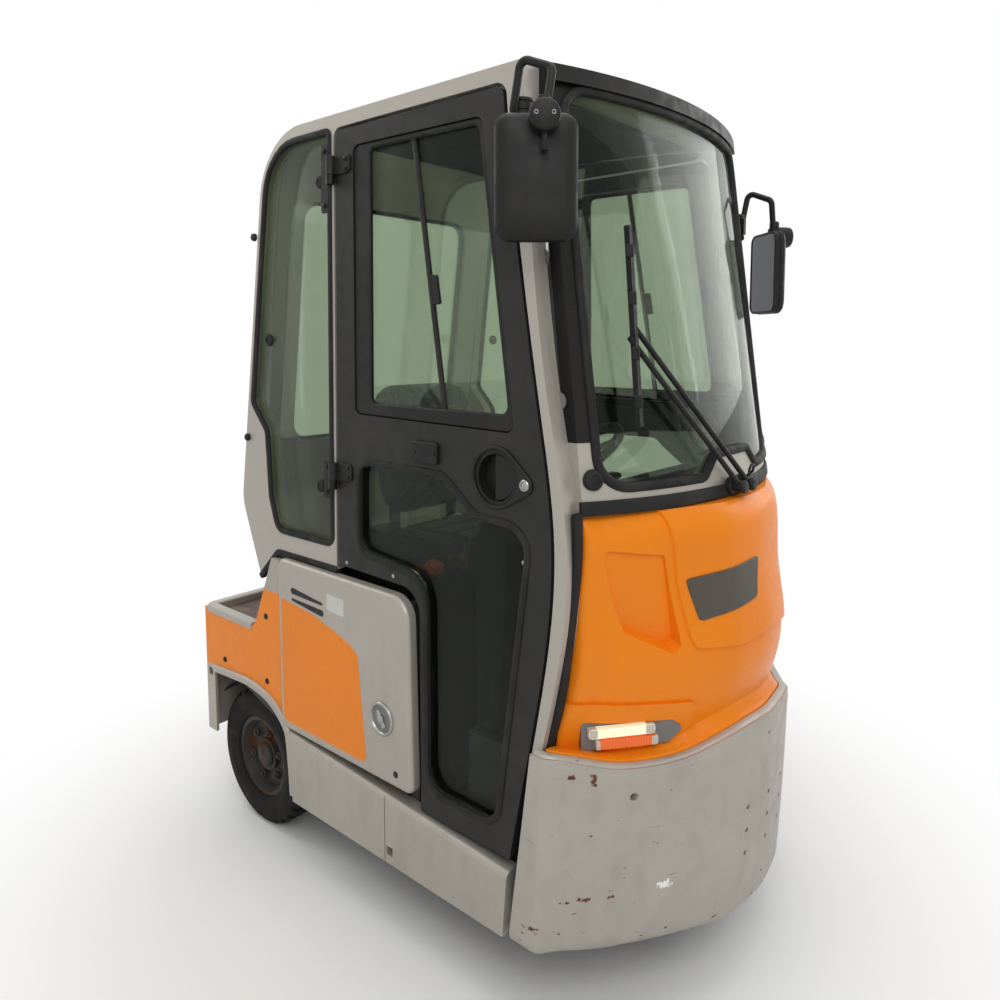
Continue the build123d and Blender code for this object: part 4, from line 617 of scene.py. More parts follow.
def divided(outline, longest):
    """A closed outline with its long runs divided."""
    points = []
    for a, b in zip(outline, outline[1:] + outline[:1]):
        a, b = Vector(a), Vector(b)
        count = max(1, math.ceil((b - a).length / longest))
        points += [tuple(a.lerp(b, k / count)) for k in range(count)]
    return points


def whole_shell(node, finish):
    """A nose shell whose right half stands for both, because the solid's left corner has a slit."""
    work = bmesh.new()
    work.from_mesh(nodes[node].data)
    parts = list(work.verts) + list(work.edges) + list(work.faces)
    bmesh.ops.bisect_plane(work, geom=parts, dist=1e-6, plane_co=(0, 0, 0), plane_no=(0, 1, 0), clear_outer=True)
    work.verts.index_update()
    form = Shape()
    form.points = [v.co.copy() for v in work.verts]
    form.faces = [tuple(v.index for v in f.verts) for f in work.faces]
    work.free()
    count = len(form.points)
    form.points += [Vector((p.x, -p.y, p.z)) for p in form.points]
    form.faces += [tuple(count + i for i in reversed(f)) for f in form.faces]
    made = form.piece(f"{node}_shell", finish, smooth=30.0)
    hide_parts(node)
    return made


shells = {node: whole_shell(node, finish) for node, finish in (("bonnet", "orange"), ("front_apron", "apron"))}


def surface_of(node):
    """A node's surface, to lay pieces on."""
    mesh = shells.get(node, nodes[node]).data
    return BVHTree.FromPolygons([v.co.copy() for v in mesh.vertices], [tuple(p.vertices) for p in mesh.polygons])


def side_frame(hand, out=0.0):
    """Frame on a leaning cab side: X forward, Y up the side, Z outwards."""
    y = hand * Vector((0, math.cos(CAB_LEAN), 0)) + Vector((0, 0, math.sin(CAB_LEAN)))
    up = Vector((0, -hand * math.sin(CAB_LEAN), math.cos(CAB_LEAN)))
    origin = Vector((REAR_X, hand * CAB_FOOT_HALF, 0)) + y * out
    return Matrix.Translation(origin) @ Matrix(((1, up.x, y.x), (0, up.y, y.y), (0, up.z, y.z))).to_4x4()


def wall_frame(hand, half):
    """Frame on an upright side at a half width: X forward from the rear end, Y up, Z outwards."""
    basis = Matrix(((1, 0, 0), (0, 0, hand), (0, 1, 0))).to_4x4()
    return shift(REAR_X, hand * half, 0) @ basis


def face_frame(point, out, up=(0, 0, 1)):
    """Frame at a point with Z outwards and Y as near up as it can be."""
    z = Vector(out).normalized()
    x = Vector(up).cross(z).normalized()
    y = z.cross(x)
    return Matrix.Translation(point) @ Matrix((x, y, z)).transposed().to_4x4()


BEAD = mirrored([(-0.009, -0.004), (-0.0075, 0.0025), (-0.003, 0.0045)])

# Cab glazing seals
QUARTER = [
    (0.632, 1.952, 0.014), (0.363, 1.952, 0.14), (0.271, 1.268, 0.03), (0.341, 1.192, 0.045),
    (0.356, 1.01, 0.06), (0.388, 0.922, 0.04), (0.632, 0.922, 0.024),
]
UPPER = [(0.724, 1.262, 0.02), (0.722, 1.904, 0.02), (1.137, 1.899, 0.02), (1.233, 1.252, 0.02)]
LOWER = [
    (0.736, 1.147, 0.036), (1.03, 1.147, 0.06), (1.128, 1.07, 0.05), (1.279, 1.062, 0.06),
    (1.195, 0.402, 0.052), (0.979, 0.402, 0.06), (0.972, 0.9, 0.07), (0.734, 0.924, 0.042),
]
for side, hand in SIDES:
    for outline, name, body in ((QUARTER, "quarter", "chassis"), (LOWER, "door_lower", f"{side}_door")):
        placing = side_frame(hand)
        seal = Shape()
        seal.sweep(laid(placing, rounded(outline)), BEAD, True, placing.to_3x3() @ Vector((0, 0, 1)))
        seal.piece(f"{name}_seal_{side}", "rubber", body)

# Wheels: tyres with their lugs, ring, nuts and hub cap
LUGS = 30
LUG_SHARE = 0.62
GROOVE = 0.012
# The two rows of lugs stand half a pitch apart
HALF_STEPS = (0.0, 0.5)
# Across and radius of the tyre's right half, from the bead to the middle of the tread
TYRE_HALF = [
    (0.042, 0.1183), (0.048, 0.1215), (0.0532, 0.133), (0.0548, 0.145), (0.0562, 0.149), (0.0562, 0.153),
    (0.055, 0.157), (0.055, 0.174), (0.0538, 0.18), (0.05, 0.187), (0.0466, 0.193), (0.04, 0.199),
    (0.036, 0.2), (0.024, 0.2), (0.013, 0.2), (0.0098, 0.2),
]


def tyre_ring(turn, cut):
    """One cross section of a tyre; cut says for each half whether a groove is there."""
    points = []
    for half, groove in ((1, cut[0]), (-1, cut[1])):
        side = []
        for across, radius in TYRE_HALF:
            floor = TYRE_RADIUS - GROOVE - 0.05 * max(0.0, across - 0.03)
            inside = groove and across > 0.012
            side.append((half * across, min(radius, floor) if inside else radius))
        points += side if half > 0 else side[::-1]
    return [Vector((r * math.cos(turn), across, r * math.sin(turn))) for across, r in points]


def groove_at(share):
    """Whether a share of a lug's pitch lies in the groove, past its edge."""
    return share % 1.0 - LUG_SHARE >= 1e-6


for body, (tyre, rim, station, across, outward) in WHEELS.items():
    centre = Vector((at(station), across, TYRE_RADIUS))
    form = Shape()
    marks = [0.0, LUG_SHARE * 0.5, LUG_SHARE, LUG_SHARE + 0.045, 0.955]
    steps = sorted({round((m + offset) % 1.0, 4) for m in marks for offset in HALF_STEPS})
    rings = []
    for lug in range(LUGS):
        for share in steps:
            cut = [groove_at(share + offset) for offset in HALF_STEPS]
            rings.append([centre + p for p in tyre_ring(2 * math.pi * (lug + share) / LUGS, cut)])
    form.skin(rings, loop=True)
    made = form.piece(f"{tyre}_tread", "tyre", body, smooth=32.0)
    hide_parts(tyre)

    out = face_frame(centre, (0, outward, 0))
    dress = Shape()
    dress.ring([(0.1058, 0.041), (0.1058, 0.034), (0.1, 0.03), (0.0975, 0.022), (0.1, 0.0215), (0.1035, 0.031),
                (0.1075, 0.0355), (0.1075, 0.041)], out, 48)
    dress.lathe([(0.036, 0.0285), (0.036, 0.034), (0.032, 0.0385), (0.02, 0.041), (0.006, 0.0418)], out, 32)
    for k in range(6):
        turn = Matrix.Rotation(math.radians(60 * k + 15), 4, "Z")
        spot = out @ turn @ shift(0.07, 0, 0.0168)
        dress.lathe([(0.0155, 0.0), (0.0155, 0.002), (0.012, 0.0035)], spot, 20)
        dress.lathe([(0.0118, 0.003), (0.0118, 0.0125), (0.0098, 0.015), (0.007, 0.0152)], spot, 6)
        dress.lathe([(0.0058, 0.014), (0.0058, 0.0195), (0.0045, 0.0205)], spot, 12)
    dress.piece(f"{rim}_fittings", "rim", body, smooth=25.0)

# Wheel arches: black liners over the rear wheels, their inner walls a black sheet of painted shade, and the silver
# bead round their edge
ARCH_RADIUS = 0.236
for side, hand in SIDES:
    axle = Vector((at(REAR_AXLE), 0, TYRE_RADIUS))
    liner = Shape()
    rows = []
    for k in range(37):
        turn = math.radians(15 + (138 - 15) * k / 36)
        ray = Vector((math.cos(turn), 0, math.sin(turn)))
        rib = 0.0035 if k % 4 < 2 else 0.0
        # The inner wall from the liner down to radius 0.08 is a black sheet standing for the shade inside the arch
        section = [
            (ARCH_RADIUS, 0.4615), (ARCH_RADIUS + rib, 0.44), (ARCH_RADIUS + rib, 0.345), (ARCH_RADIUS, 0.3265),
            (0.08, 0.3265), (0.08, 0.3295), (ARCH_RADIUS - 0.003, 0.3295), (ARCH_RADIUS + rib - 0.003, 0.345),
            (ARCH_RADIUS + rib - 0.003, 0.44), (ARCH_RADIUS - 0.003, 0.4615),
        ]
        rows.append([axle + ray * r + Vector((0, hand * y, 0)) for r, y in section])
    liner.skin(rows)
    liner.piece(f"wheel_arch_liner_{side}", "black")

    trim = Shape()
    edge = curve_through([
        (0.052, 0.44), (0.15, 0.4465), (0.243, 0.45), (0.332, 0.4365), (0.388, 0.41), (0.427, 0.374),
        (0.439, 0.345), (0.448, 0.266), (0.453, 0.19),
    ], 8)
    placing = wall_frame(hand, REAR_HALF)
    path = laid(placing, edge)
    section = mirrored([(-0.011, -0.014), (-0.0115, 0.004), (-0.008, 0.0095), (-0.003, 0.0115)])
    trim.sweep(path, section, False, Vector((0, hand, 0)))
    trim.piece(f"wheel_arch_trim_{side}", "silver")

# Battery covers: orange field, pressed louvres, blank label, lock and plug
FIELD = [
    (0.43, 0.7455, 0.006), (0.577, 0.73, 0.25), (0.712, 0.6945, 0.22), (0.7535, 0.672, 0.026), (0.782,
                                                                                                  0.4015, 0.02),
    (0.4285, 0.4015, 0.018),
]
for side, hand in SIDES:
    wall = wall_frame(hand, HALF)
    field = Shape()
    field.prism(rounded(FIELD), wall, 0.0005, 0.0003)
    field.piece(f"cover_field_{side}", "orange")

    louvres = Shape()
    for start, end, bulb in (((0.485, 0.7755), (0.611, 0.767), 0), ((0.484, 0.7515), (0.61, 0.7425), 1)):
        a, b = Vector(start), Vector(end)
        way = (b - a).normalized()
        across = Vector((-way.y, way.x))
        outline = []
        for tip, ahead, radius in ((b, way, 0.0085 if bulb else 0.0035), (a, -way, 0.0035 if bulb else 0.0085)):
            for k in range(9):
                turn = math.radians(-90 + 180 * k / 8)
                outline.append(tuple(tip + ahead * radius * math.cos(turn)
                                     + (across if ahead == way else -across) * radius * math.sin(turn)))
        louvres.prism(outline, wall, 0.0009, 0.0004)
    louvres.lathe([(0.008, 0.0), (0.008, 0.001), (0.0065, 0.0022), (0.002, 0.0026)],
                  wall @ shift(0.889, 0.413, 0), 20)
    louvres.piece(f"cover_slots_{side}", "black")

    if side == "right":
        label = Shape()
        label.prism(rounded([(0.633, 0.757, 0.005), (0.702, 0.753, 0.005), (0.702, 0.797, 0.005), (0.633,
                                                                                                   0.801, 0.005)]),
                    wall, 0.0006, 0.0002)
        label.piece(f"cover_label_{side}", "label")

    spot = wall @ shift(0.841, 0.536, 0)
    cup = Shape()
    cup.ring([(0.042, -0.001), (0.042, 0.002), (0.0395, 0.0048), (0.036, 0.0052), (0.0335, 0.003),
              (0.0325, 0.0004)],
             spot, 48)
    bar = oblong(-0.0235, 0.0235, -0.0065, 0.0065, 0.006)
    cup.prism(bar, spot @ Matrix.Rotation(math.radians(-58), 4, "Z"), 0.0046, 0.0014)
    cup.lathe([(0.0115, 0.001), (0.0115, 0.0052), (0.0095, 0.0064), (0.003, 0.0066)], spot, 24)
    cup.piece(f"cover_lock_{side}", "steel")
    well = Shape()
    well.lathe([(0.0335, 0.0), (0.0335, 0.0008), (0.03, 0.0011), (0.004, 0.0011)], spot, 40)
    well.piece(f"cover_lock_well_{side}", "grey")

# Rear body: silver cap round the deck, plugs and screws
cap = Shape()
corner_x, corner_y = 0.0125, REAR_HALF - 0.0125
plan = [(0.262, -corner_y), (0.06, -corner_y)]
plan += [(corner_x + 0.016 * (1 - math.sin(t)), -corner_y + 0.016 * (1 - math.cos(t)))
         for t in [math.pi / 2 * k / 6 for k in range(7)]]
plan += [(x, -y) for x, y in reversed(plan)]
path = [Vector((at(x), y, 0.624)) for x, y in plan]
section = mirrored([(-0.015, -0.012), (-0.0155, 0.0045), (-0.0125, 0.008)])
cap.sweep(path, section, False, Vector((0, 0, 1)))
cap.piece("deck_edge_cap", "silver")

plugs = Shape()
DOME = [(0.0085, -0.001), (0.0085, 0.0012), (0.0065, 0.0032), (0.0022, 0.004)]
for side, hand in SIDES:
    for x, z in ((0.337, 0.668), (0.109, 0.482), (0.334, 0.479)):
        plugs.lathe(DOME, wall_frame(hand, REAR_HALF) @ shift(x, z, 0), 20)
    for z in (0.48, 0.59):
        plugs.lathe(DOME, face_frame((REAR_X, hand * 0.442, z), (-1, 0, 0)), 20)
plugs.piece("rear_body_plugs", "black")

bezels = Shape()
for side, hand in SIDES:
    tail = face_frame((REAR_X, hand * 0.388, 0.535), (-1, 0, 0))
    rim = oblong(-0.067, 0.067, -0.038, 0.038, 0.018)
    gap = oblong(-0.0605, 0.0605, -0.0315, 0.0315, 0.0145)
    bezels.band(rim, gap, tail, -0.001, 0.0095, 0.003)
bezels.piece("tail_lamp_bezels", "black")

# Cab sides: rubber strip along the lower edge, clamps on the quarter windows, stops on the rear edge
for side, hand in SIDES:
    skin_frame = side_frame(hand)
    out = skin_frame.to_3x3() @ Vector((0, 0, 1))
    strip = Shape()
    foot = [(0.65, 0.86), (0.398, 0.86), (0.389, 0.859), (0.381, 0.8545), (0.3, 0.7755)]
    path = laid(skin_frame, foot)
    strip.sweep(path, mirrored([(-0.008, -0.012), (-0.0085, 0.0015), (-0.005, 0.0035)]), False, out)
    strip.piece(f"cab_foot_strip_{side}", "rubber")

    clamps = Shape()
    for x, z in ((0.586, 1.835), (0.35, 1.441), (0.578, 1.066)):
        spot = skin_frame @ shift(x, z, -0.0085)
        clamps.lathe([(0.0165, 0.0), (0.0165, 0.004), (0.0145, 0.0068), (0.009, 0.008), (0.0085, 0.0062),
                      (0.002, 0.0062)],
                     spot, 28)
    for x, z in ((0.296, 1.722), (0.247, 1.167)):
        spot = skin_frame @ shift(x, z, -0.001)
        clamps.lathe([(0.0105, 0.0), (0.0105, 0.006), (0.0085, 0.0092), (0.003, 0.0102)], spot, 20)
    clamps.piece(f"cab_side_clamps_{side}", "rubber")

    hinge = Shape()
    for low, high in ((1.755, 1.923), (1.04, 1.14)):
        leaf = oblong(0.602, 0.639, low, high, 0.006)
        hinge.prism(leaf, side_frame(hand, -0.001), 0.0055, 0.0015)
        for z in (low + 0.018, high - 0.018):
            hinge.lathe([(0.0068, 0.0), (0.0068, 0.0022), (0.005, 0.004), (0.0018, 0.0046)],
                        side_frame(hand, 0.0042) @ shift(0.616, z, 0), 16)
    hinge.piece(f"door_hinge_plates_{side}", "black")

    straps = Shape()
    for middle in (1.114, 1.864):
        leaf = rounded([(0.666, middle - 0.024, 0.008), (0.716, middle - 0.02, 0.012), (0.716, middle + 0.02,
                                                                                         0.012),
                        (0.666, middle + 0.024, 0.008)])
        straps.prism(leaf, side_frame(hand, -0.001), 0.0075, 0.002)
        for z in (middle - 0.011, middle + 0.011):
            straps.lathe([(0.006, 0.0), (0.006, 0.002), (0.0045, 0.0036), (0.0015, 0.004)],
                         side_frame(hand, 0.0062) @ shift(0.702, z, 0), 16)
    straps.piece(f"door_hinge_straps_{side}", "black", f"{side}_door")

    # Door: frame of the sliding pane, its edge, latch, blank plate, lock and screws
    pane = Shape()
    clear = [(0.78, 1.29, 0.018), (0.779, 1.89, 0.018), (1.124, 1.886, 0.018), (1.212, 1.29, 0.018)]
    pane.band(rounded([(x + dx, z + dz, r) for (x, z, r), (dx, dz) in
                       zip(UPPER, ((0.0004, 0.0004), (0.0004, -0.0004), (-0.0004, -0.0004), (-0.0004, 0.0004)))]),
              rounded(clear), side_frame(hand), -0.0138, -0.0035, 0.003)
    lines = laid(side_frame(hand, -0.0125), ((0.924, 1.893), (1.0235, 1.286)))
    pane.sweep(lines, mirrored([(-0.007, -0.0014), (-0.007, 0.003), (-0.005, 0.0046)]),
               False, out)
    latch = rounded([(0.992, 1.52, 0.006), (1.012, 1.52, 0.006), (1.0, 1.585, 0.006), (0.98, 1.585, 0.006)])
    pane.prism(latch, side_frame(hand, -0.0125), 0.0075, 0.002)
    pane.piece(f"door_slider_frame_{side}", "black", f"{side}_door")

    if side == "right":
        plate = Shape()
        plate.prism(oblong(0.937, 1.018, 1.167, 1.215, 0.006),
                    side_frame(hand, -0.0005), 0.0105, 0.002)
        for x in (0.946, 1.009):
            plate.lathe([(0.004, 0.0), (0.004, 0.0014), (0.0026, 0.0022), (0.0008, 0.0024)],
                        side_frame(hand, 0.0098) @ shift(x, 1.191, 0), 14)
        plate.piece(f"door_blank_plate_{side}", "black", f"{side}_door")

    bezel = Shape()
    rims = []
    for rounds in (((1.185, 1.158, 0.0665), (1.262, 1.15, 0.0215)), ((1.185, 1.158, 0.059), (1.262, 1.15,
                                                                                               0.0145))):
        rim = []
        for dx, dz in circle(64):
            x, z, r = max(rounds, key=lambda c: c[0] * dx + c[1] * dz + c[2])
            rim.append((x + r * dx, z + r * dz))
        rims.append(rim)
    bezel.band(rims[0], rims[1], side_frame(hand), -0.001, 0.0055, 0.002)
    bezel.piece(f"door_handle_bezel_{side}", "black", f"{side}_door")

    lock = Shape()
    spot = side_frame(hand) @ shift(1.262, 1.15, 0)
    lock.ring([(0.0125, -0.001), (0.0125, 0.0028), (0.0105, 0.0046), (0.008, 0.0046), (0.0072, 0.003)], spot, 28)
    lock.lathe([(0.0076, 0.0), (0.0076, 0.003), (0.007, 0.0034), (0.0016, 0.0034)], spot, 24)
    key = oblong(-0.0009, 0.0009, -0.0048, 0.0048, 0.0004)
    lock.prism(key, spot @ shift(0, 0, 0.0032), 0.0007, 0.0002)
    for x, z in ((0.864, 0.886), (0.69, 0.886), (1.262, 0.992)):
        lock.lathe([(0.005, -0.0005), (0.005, 0.0012), (0.0034, 0.0022), (0.001, 0.0025)],
                   side_frame(hand) @ shift(x, z, 0), 16)
    lock.piece(f"door_lock_{side}", "steel", f"{side}_door")

# Windscreen: seal on the bowed front, scuttle strip, pillar strips and caps


def cab_half(z):
    """Half width of the cab's front frame at a height."""
    return CAB_FOOT_HALF - z * math.tan(CAB_LEAN) - CAB_WALL - 0.0003


def bow_point(y, z, out=0.0):
    """Point on the bowed front of the cab, some distance ahead of it."""
    share = (z - 1.099) / (1.985 - 1.099)
    side = 1.374 + share * (1.264 - 1.374)
    front = 1.502 + share * (1.344 - 1.502)
    half = cab_half(z)
    depth = front - side
    radius = (half * half + depth * depth) / (2 * depth)
    point = Vector((at(front - radius + math.sqrt(radius * radius - y * y)), y, z))
    return point + bow_normal(y, z) * out if out else point


def bow_normal(y, z):
    """The way out of the bowed front."""
    across = bow_point(y + 0.004, z) - bow_point(y - 0.004, z)
    up = bow_point(y, z + 0.004) - bow_point(y, z - 0.004)
    return across.cross(up).normalized()


SCREEN = [(-0.384, 1.946, 0.062), (-0.392, 1.146, 0.062), (-0.13, 1.146, 0.024), (-0.08, 1.192, 0.024)]
SCREEN += [(-y, z, r) for y, z, r in reversed(SCREEN)]
outline = divided(rounded(SCREEN), 0.05)
seal = Shape()
ROUND_BEAD = mirrored([(-0.01, -0.007), (-0.0105, 0.001), (-0.008, 0.006), (-0.003, 0.0085)])
seal.sweep([bow_point(y, z) for y, z in outline], ROUND_BEAD, True, [bow_normal(y, z) for y, z in outline])
seal.piece("windscreen_seal", "rubber")

rear_window = divided(oblong(-0.33, 0.33, 1.14, 1.838, 0.06), 0.06)
seal = Shape()
path = [Vector((at(0.212 + (z - 0.985) * 0.1326), y, z)) for y, z in rear_window]
seal.sweep(path, ROUND_BEAD, True, Vector((-1, 0, 0.1326)).normalized())
seal.piece("rear_window_seal", "rubber")

strip = Shape()
sweep_y = [-0.431 + 0.862 * k / 24 for k in range(25)]
strip.sweep([bow_point(y, 1.1095) for y in sweep_y],
            mirrored([(-0.0145, -0.004), (-0.0145, 0.004), (-0.01, 0.0065)]),
            False, [bow_normal(y, 1.1095) for y in sweep_y])
for side, hand in SIDES:
    spot = face_frame(bow_point(hand * 0.403, 1.166), bow_normal(hand * 0.403, 1.166))
    strip.lathe([(0.0215, -0.004), (0.0215, 0.006), (0.0185, 0.0105), (0.011, 0.0125), (0.01, 0.0105),
                 (0.003, 0.0105)], spot, 28)
    edge = curve_through([(1.3085, 0.6), (1.3405, 0.718), (1.3605, 0.86), (1.3745, 1.0), (1.3735, 1.104)], 6)
    path = [Vector((at(s), hand * (cab_half(z) + 0.0165), z)) for s, z in edge]
    strip.sweep(path, mirrored([(-0.0135, -0.006), (-0.0135, 0.002), (-0.009, 0.005)]),
                False, Vector((1, 0, 0)))
strip.piece("scuttle_strips", "rubber")

# Wiper: spindle caps, the blade's rubber, and the washer's hose between the spindles
wash = Shape()
for y in (0.0, -0.046):
    foot = Vector((at(1.501), y, 1.12))
    wash.lathe([(0.0195, 0.0), (0.0195, 0.01), (0.0165, 0.0135), (0.013, 0.014)], face_frame(foot, (1, 0,
                                                                                                         0)), 24)
    wash.lathe([(0.0145, 0.0335), (0.0145, 0.0385), (0.0115, 0.0425), (0.004, 0.0435)], face_frame(foot, (1,
                                                                                                           0, 0)), 24)
loop = curve_through([(0.034, 1.128), (0.034, 1.143), (0.027, 1.157), (0.014, 1.161), (0.003, 1.152), (-0.003,
                                                                                                       1.138)], 6)
reach = [0.003, 0.02, 0.026, 0.026, 0.026, 0.028]
path = []
for k, (y, z) in enumerate(loop):
    share = k / (len(loop) - 1) * (len(reach) - 1)
    low = min(int(share), len(reach) - 2)
    path.append(Vector((at(1.501) + reach[low] + (reach[low + 1] - reach[low]) * (share - low), y, z)))
wash.tube(path, 0.0032, 8)
tip = Vector((at(1.424), -0.33, 1.47))
way = Vector((-0.12, 0.06, 1)).normalized()
back = Vector((-0.62, 0.78, 0)).normalized()
spine = [tip + way * (0.196 * k / 8) + back * 0.01 for k in range(-8, 9)]
wash.sweep(spine, mirrored([(-0.003, -0.006), (-0.0012, 0.008)]), False, back)
for k in (-0.15, -0.055, 0.055, 0.15):
    claw = face_frame(tip + way * k, -back, way)
    wash.prism(oblong(-0.0085, 0.0085, -0.013, 0.013, 0.002),
               claw @ shift(0, 0, 0.004), 0.0055, 0.002)
wash.piece("wiper_fittings", "black")

# Mirrors: crowned shell, glass and clamp
for side, hand, level in (("right", -1, 1.736), ("left", 1, 1.63)):
    face = Vector((math.sin(math.radians(41)), hand * math.cos(math.radians(41)), 0))
    head = Vector((at(1.335), hand * 0.53, level))
    front = face_frame(head + face * 0.012, face)
    edge = oblong(-0.0752, 0.0752, -0.1132, 0.1132, 0.026)
    shell = Shape()
    rows = [[(x, y, -0.0105) for x, y in inset(edge, -0.0012)], [(x, y, -0.001) for x, y in inset(edge, -0.0012)]]
    for move, rise in ((0.004, 0.0055), (0.012, 0.0105), (0.024, 0.014), (0.045, 0.0165)):
        share = 1 - move / 0.0752
        rows.append([(x * share, y * (1 - move / 0.1132), rise) for x, y in edge])
    shell.skin([[front @ Vector(p) for p in row] for row in rows])
    rear = face_frame(head - face * 0.012, -face)
    shell.band(edge, inset(edge, 0.006), rear, -0.002, 0.003, 0.001)
    shell.piece(f"mirror_shell_{side}", "black")

    glass = Shape()
    glass.prism(inset(edge, 0.0062), rear @ shift(0, 0, -0.0005), 0.0018, 0.0006)
    glass.piece(f"mirror_glass_painted_reflection_{side}", "mirror")

    clamp = Shape()
    hub = head + Vector((0.018, 0, 0.101))
    spot = face_frame(hub, face)
    clamp.lathe([(0.024, -0.012), (0.027, 0.004), (0.0285, 0.01), (0.0285, 0.041), (0.0268, 0.0448),
                 (0.0235, 0.0465),
                 (0.006, 0.047)], spot, 40)
    clamp.lathe([(0.0052, 0.0), (0.0052, 0.024), (0.0072, 0.0255), (0.0072, 0.0385), (0.0055, 0.0415),
                 (0.0015, 0.0425)],
                face_frame(hub + face * 0.028 + Vector((0, 0, -0.018)), (0, 0, -1), (1, 0, 0)), 16)
    clamp.lathe([(0.01, 0.0), (0.0135, 0.004), (0.0135, 0.018), (0.0115, 0.0225), (0.004, 0.024)],
                face_frame(hub + Vector((0, 0, 0.0205)), (0, 0, 1), (1, 0, 0)), 10)
    foot = Vector((at(1.262), hand * (CAB_FOOT_HALF - (level + 0.13) * math.tan(CAB_LEAN) + 0.0135), level + 0.13))
    clamp.lathe([(0.0165, -0.004), (0.0165, 0.004), (0.0135, 0.0085), (0.01, 0.0095)], face_frame(foot,
                                                                                                    (0, hand, 0)), 24)
    drum = [(0.013, -0.037), (0.0195, -0.035), (0.0215, -0.031)]
    for z in (-0.022, -0.006, 0.01, 0.026):
        drum += [(0.0215, z), (0.0195, z + 0.001), (0.0195, z + 0.003), (0.0215, z + 0.004)]
    clamp.lathe(drum + [(0.0215, 0.032), (0.0195, 0.036), (0.013, 0.038), (0.003, 0.0385)],
                face_frame(foot + Vector((0, hand * 0.006, 0)), (0, 0, 1), (1, 0, 0)), 32)
    clamp.piece(f"mirror_clamp_{side}", "black")

    pins = Shape()
    for dx in (-0.012, 0.012):
        pins.ring([(0.004, 0.0), (0.004, 0.0012), (0.0033, 0.0017), (0.0024, 0.0012), (0.0024, 0.0)],
                  spot @ shift(dx * 1.3, 0.002, 0.0462), 16)
    for dz in (-0.021, 0.021):
        pins.lathe([(0.0052, 0.0), (0.0052, 0.0022), (0.0036, 0.0034), (0.001, 0.0038)],
                   face_frame(foot + Vector((0, 0, dz)), (0, hand, 0)), 14)
    pins.piece(f"mirror_screws_{side}", "steel")

# Bonnet: blank badge plate on the right, laid on its surface
BADGE = [(1.513, -0.237, 0.95), (1.585, -0.022, 0.967), (1.598, -0.041, 0.88), (1.541, -0.212, 0.859)]
bonnet_surface = surface_of("bonnet")


def on_bonnet(u, v, lift):
    """Point of the badge plate: shares across and up, laid on the bonnet and lifted off it."""
    top = Vector(BADGE[0]).lerp(Vector(BADGE[1]), u)
    low = Vector(BADGE[3]).lerp(Vector(BADGE[2]), u)
    aim = low.lerp(top, v)
    start = Vector((at(aim.x) + 0.25, aim.y, aim.z))
    hit, normal = bonnet_surface.ray_cast(start, Vector((-1, 0, 0)))[:2]
    return hit + (normal if normal.x > 0 else -normal) * lift


frame_uv = divided(oblong(0.0, 1.0, 0.0, 1.0, 0.06, 5), 0.09)
rows = [[on_bonnet(u, v, lift) for u, v in frame_uv] for lift in (-0.002, 0.0022)]
for shrink in (0.97, 0.9, 0.75, 0.55, 0.35, 0.15):
    wide = 1 - (1 - shrink) * 0.45 if shrink > 0.9 else shrink
    rows.append([on_bonnet(0.5 + (u - 0.5) * wide, 0.5 + (v - 0.5) * shrink, 0.0034) for u, v in frame_uv])
badge = Shape()
badge.skin(rows)
badge.piece("bonnet_badge_plate_right", "badge")

# Nose: the apron's rolled top edge and the bonnet's lip that closes onto it
apron_surface = surface_of("front_apron")
NOSE_MIDDLE = Vector((at(1.328), 0, 0))


def outer_point(surface, turn, z):
    """Outermost point of a surface in a direction about the nose's middle, at a height."""
    way = Vector((math.cos(turn), math.sin(turn), 0))
    return surface.ray_cast(NOSE_MIDDLE + way * 0.9 + Vector((0, 0, z)), -way)[0]


def nose_edge(turn):
    """Apron's top edge and bonnet's lower edge in a direction: the way out, both points and both heights."""
    way = Vector((math.cos(turn), math.sin(turn), 0))
    low = outer_point(apron_surface, turn, 0.55)
    top = apron_surface.ray_cast(low - way * 0.005 + Vector((0, 0, 0.3)), Vector((0, 0, -1)))[0].z
    edge = outer_point(apron_surface, turn, top - 0.003)
    # The lamps' recesses are open, so the bonnet is looked for below them too
    feet = [outer_point(bonnet_surface, turn, z) for z in (0.59, 0.584, 0.58, top + 0.04)]
    inner = [p for p in feet if p][0]
    foot = bonnet_surface.ray_cast(Vector((inner.x, inner.y, 0.5)) - way * 0.004, Vector((0, 0, 1)))[0].z
    above = [outer_point(bonnet_surface, turn, foot + step) for step in (0.012, 0.006, 0.003)]
    return way, edge, [p for p in above if p][0], top, foot


roll, lip = [], []
TURNS = 72
LAST_TURN = math.radians(90)
for k in range(TURNS + 1):
    turn = LAST_TURN * (2 * k / TURNS - 1)
    way, edge, inner, top, foot = nose_edge(turn)
    width = math.hypot(edge.x - inner.x, edge.y - inner.y)
    seam = min(0.021, width - 0.004)
    base = Vector((edge.x, edge.y, 0))

    def spot(inward, z):
        return base - way * inward + Vector((0, 0, z))

    roll.append([
        spot(-0.0006, top - 0.034), spot(-0.001, top - 0.016), spot(0.0012, top - 0.0055), spot(0.006,
                                                                                                 top + 0.001),
        spot(0.013, top + 0.0042), spot(seam, top + 0.0052), spot(seam, top - 0.003), spot(0.0125, top - 0.006),
    ])
    start = seam + 0.0025
    climb = inner.z - top - 0.0085
    lip.append([
        spot(start, top - 0.002), spot(start, top + 0.006), spot(start + 0.002, top + 0.0085)]
        + [spot(start + 0.002 + (width - start - 0.002) * share, top + 0.0085 + climb * share ** 1.7)
           for share in (0.25, 0.5, 0.75, 0.92, 1.0)]
        + [spot(width + 0.005, inner.z - 0.001), spot(width + 0.005, foot + 0.001), spot(start + 0.004,
                                                                                         top - 0.002)])
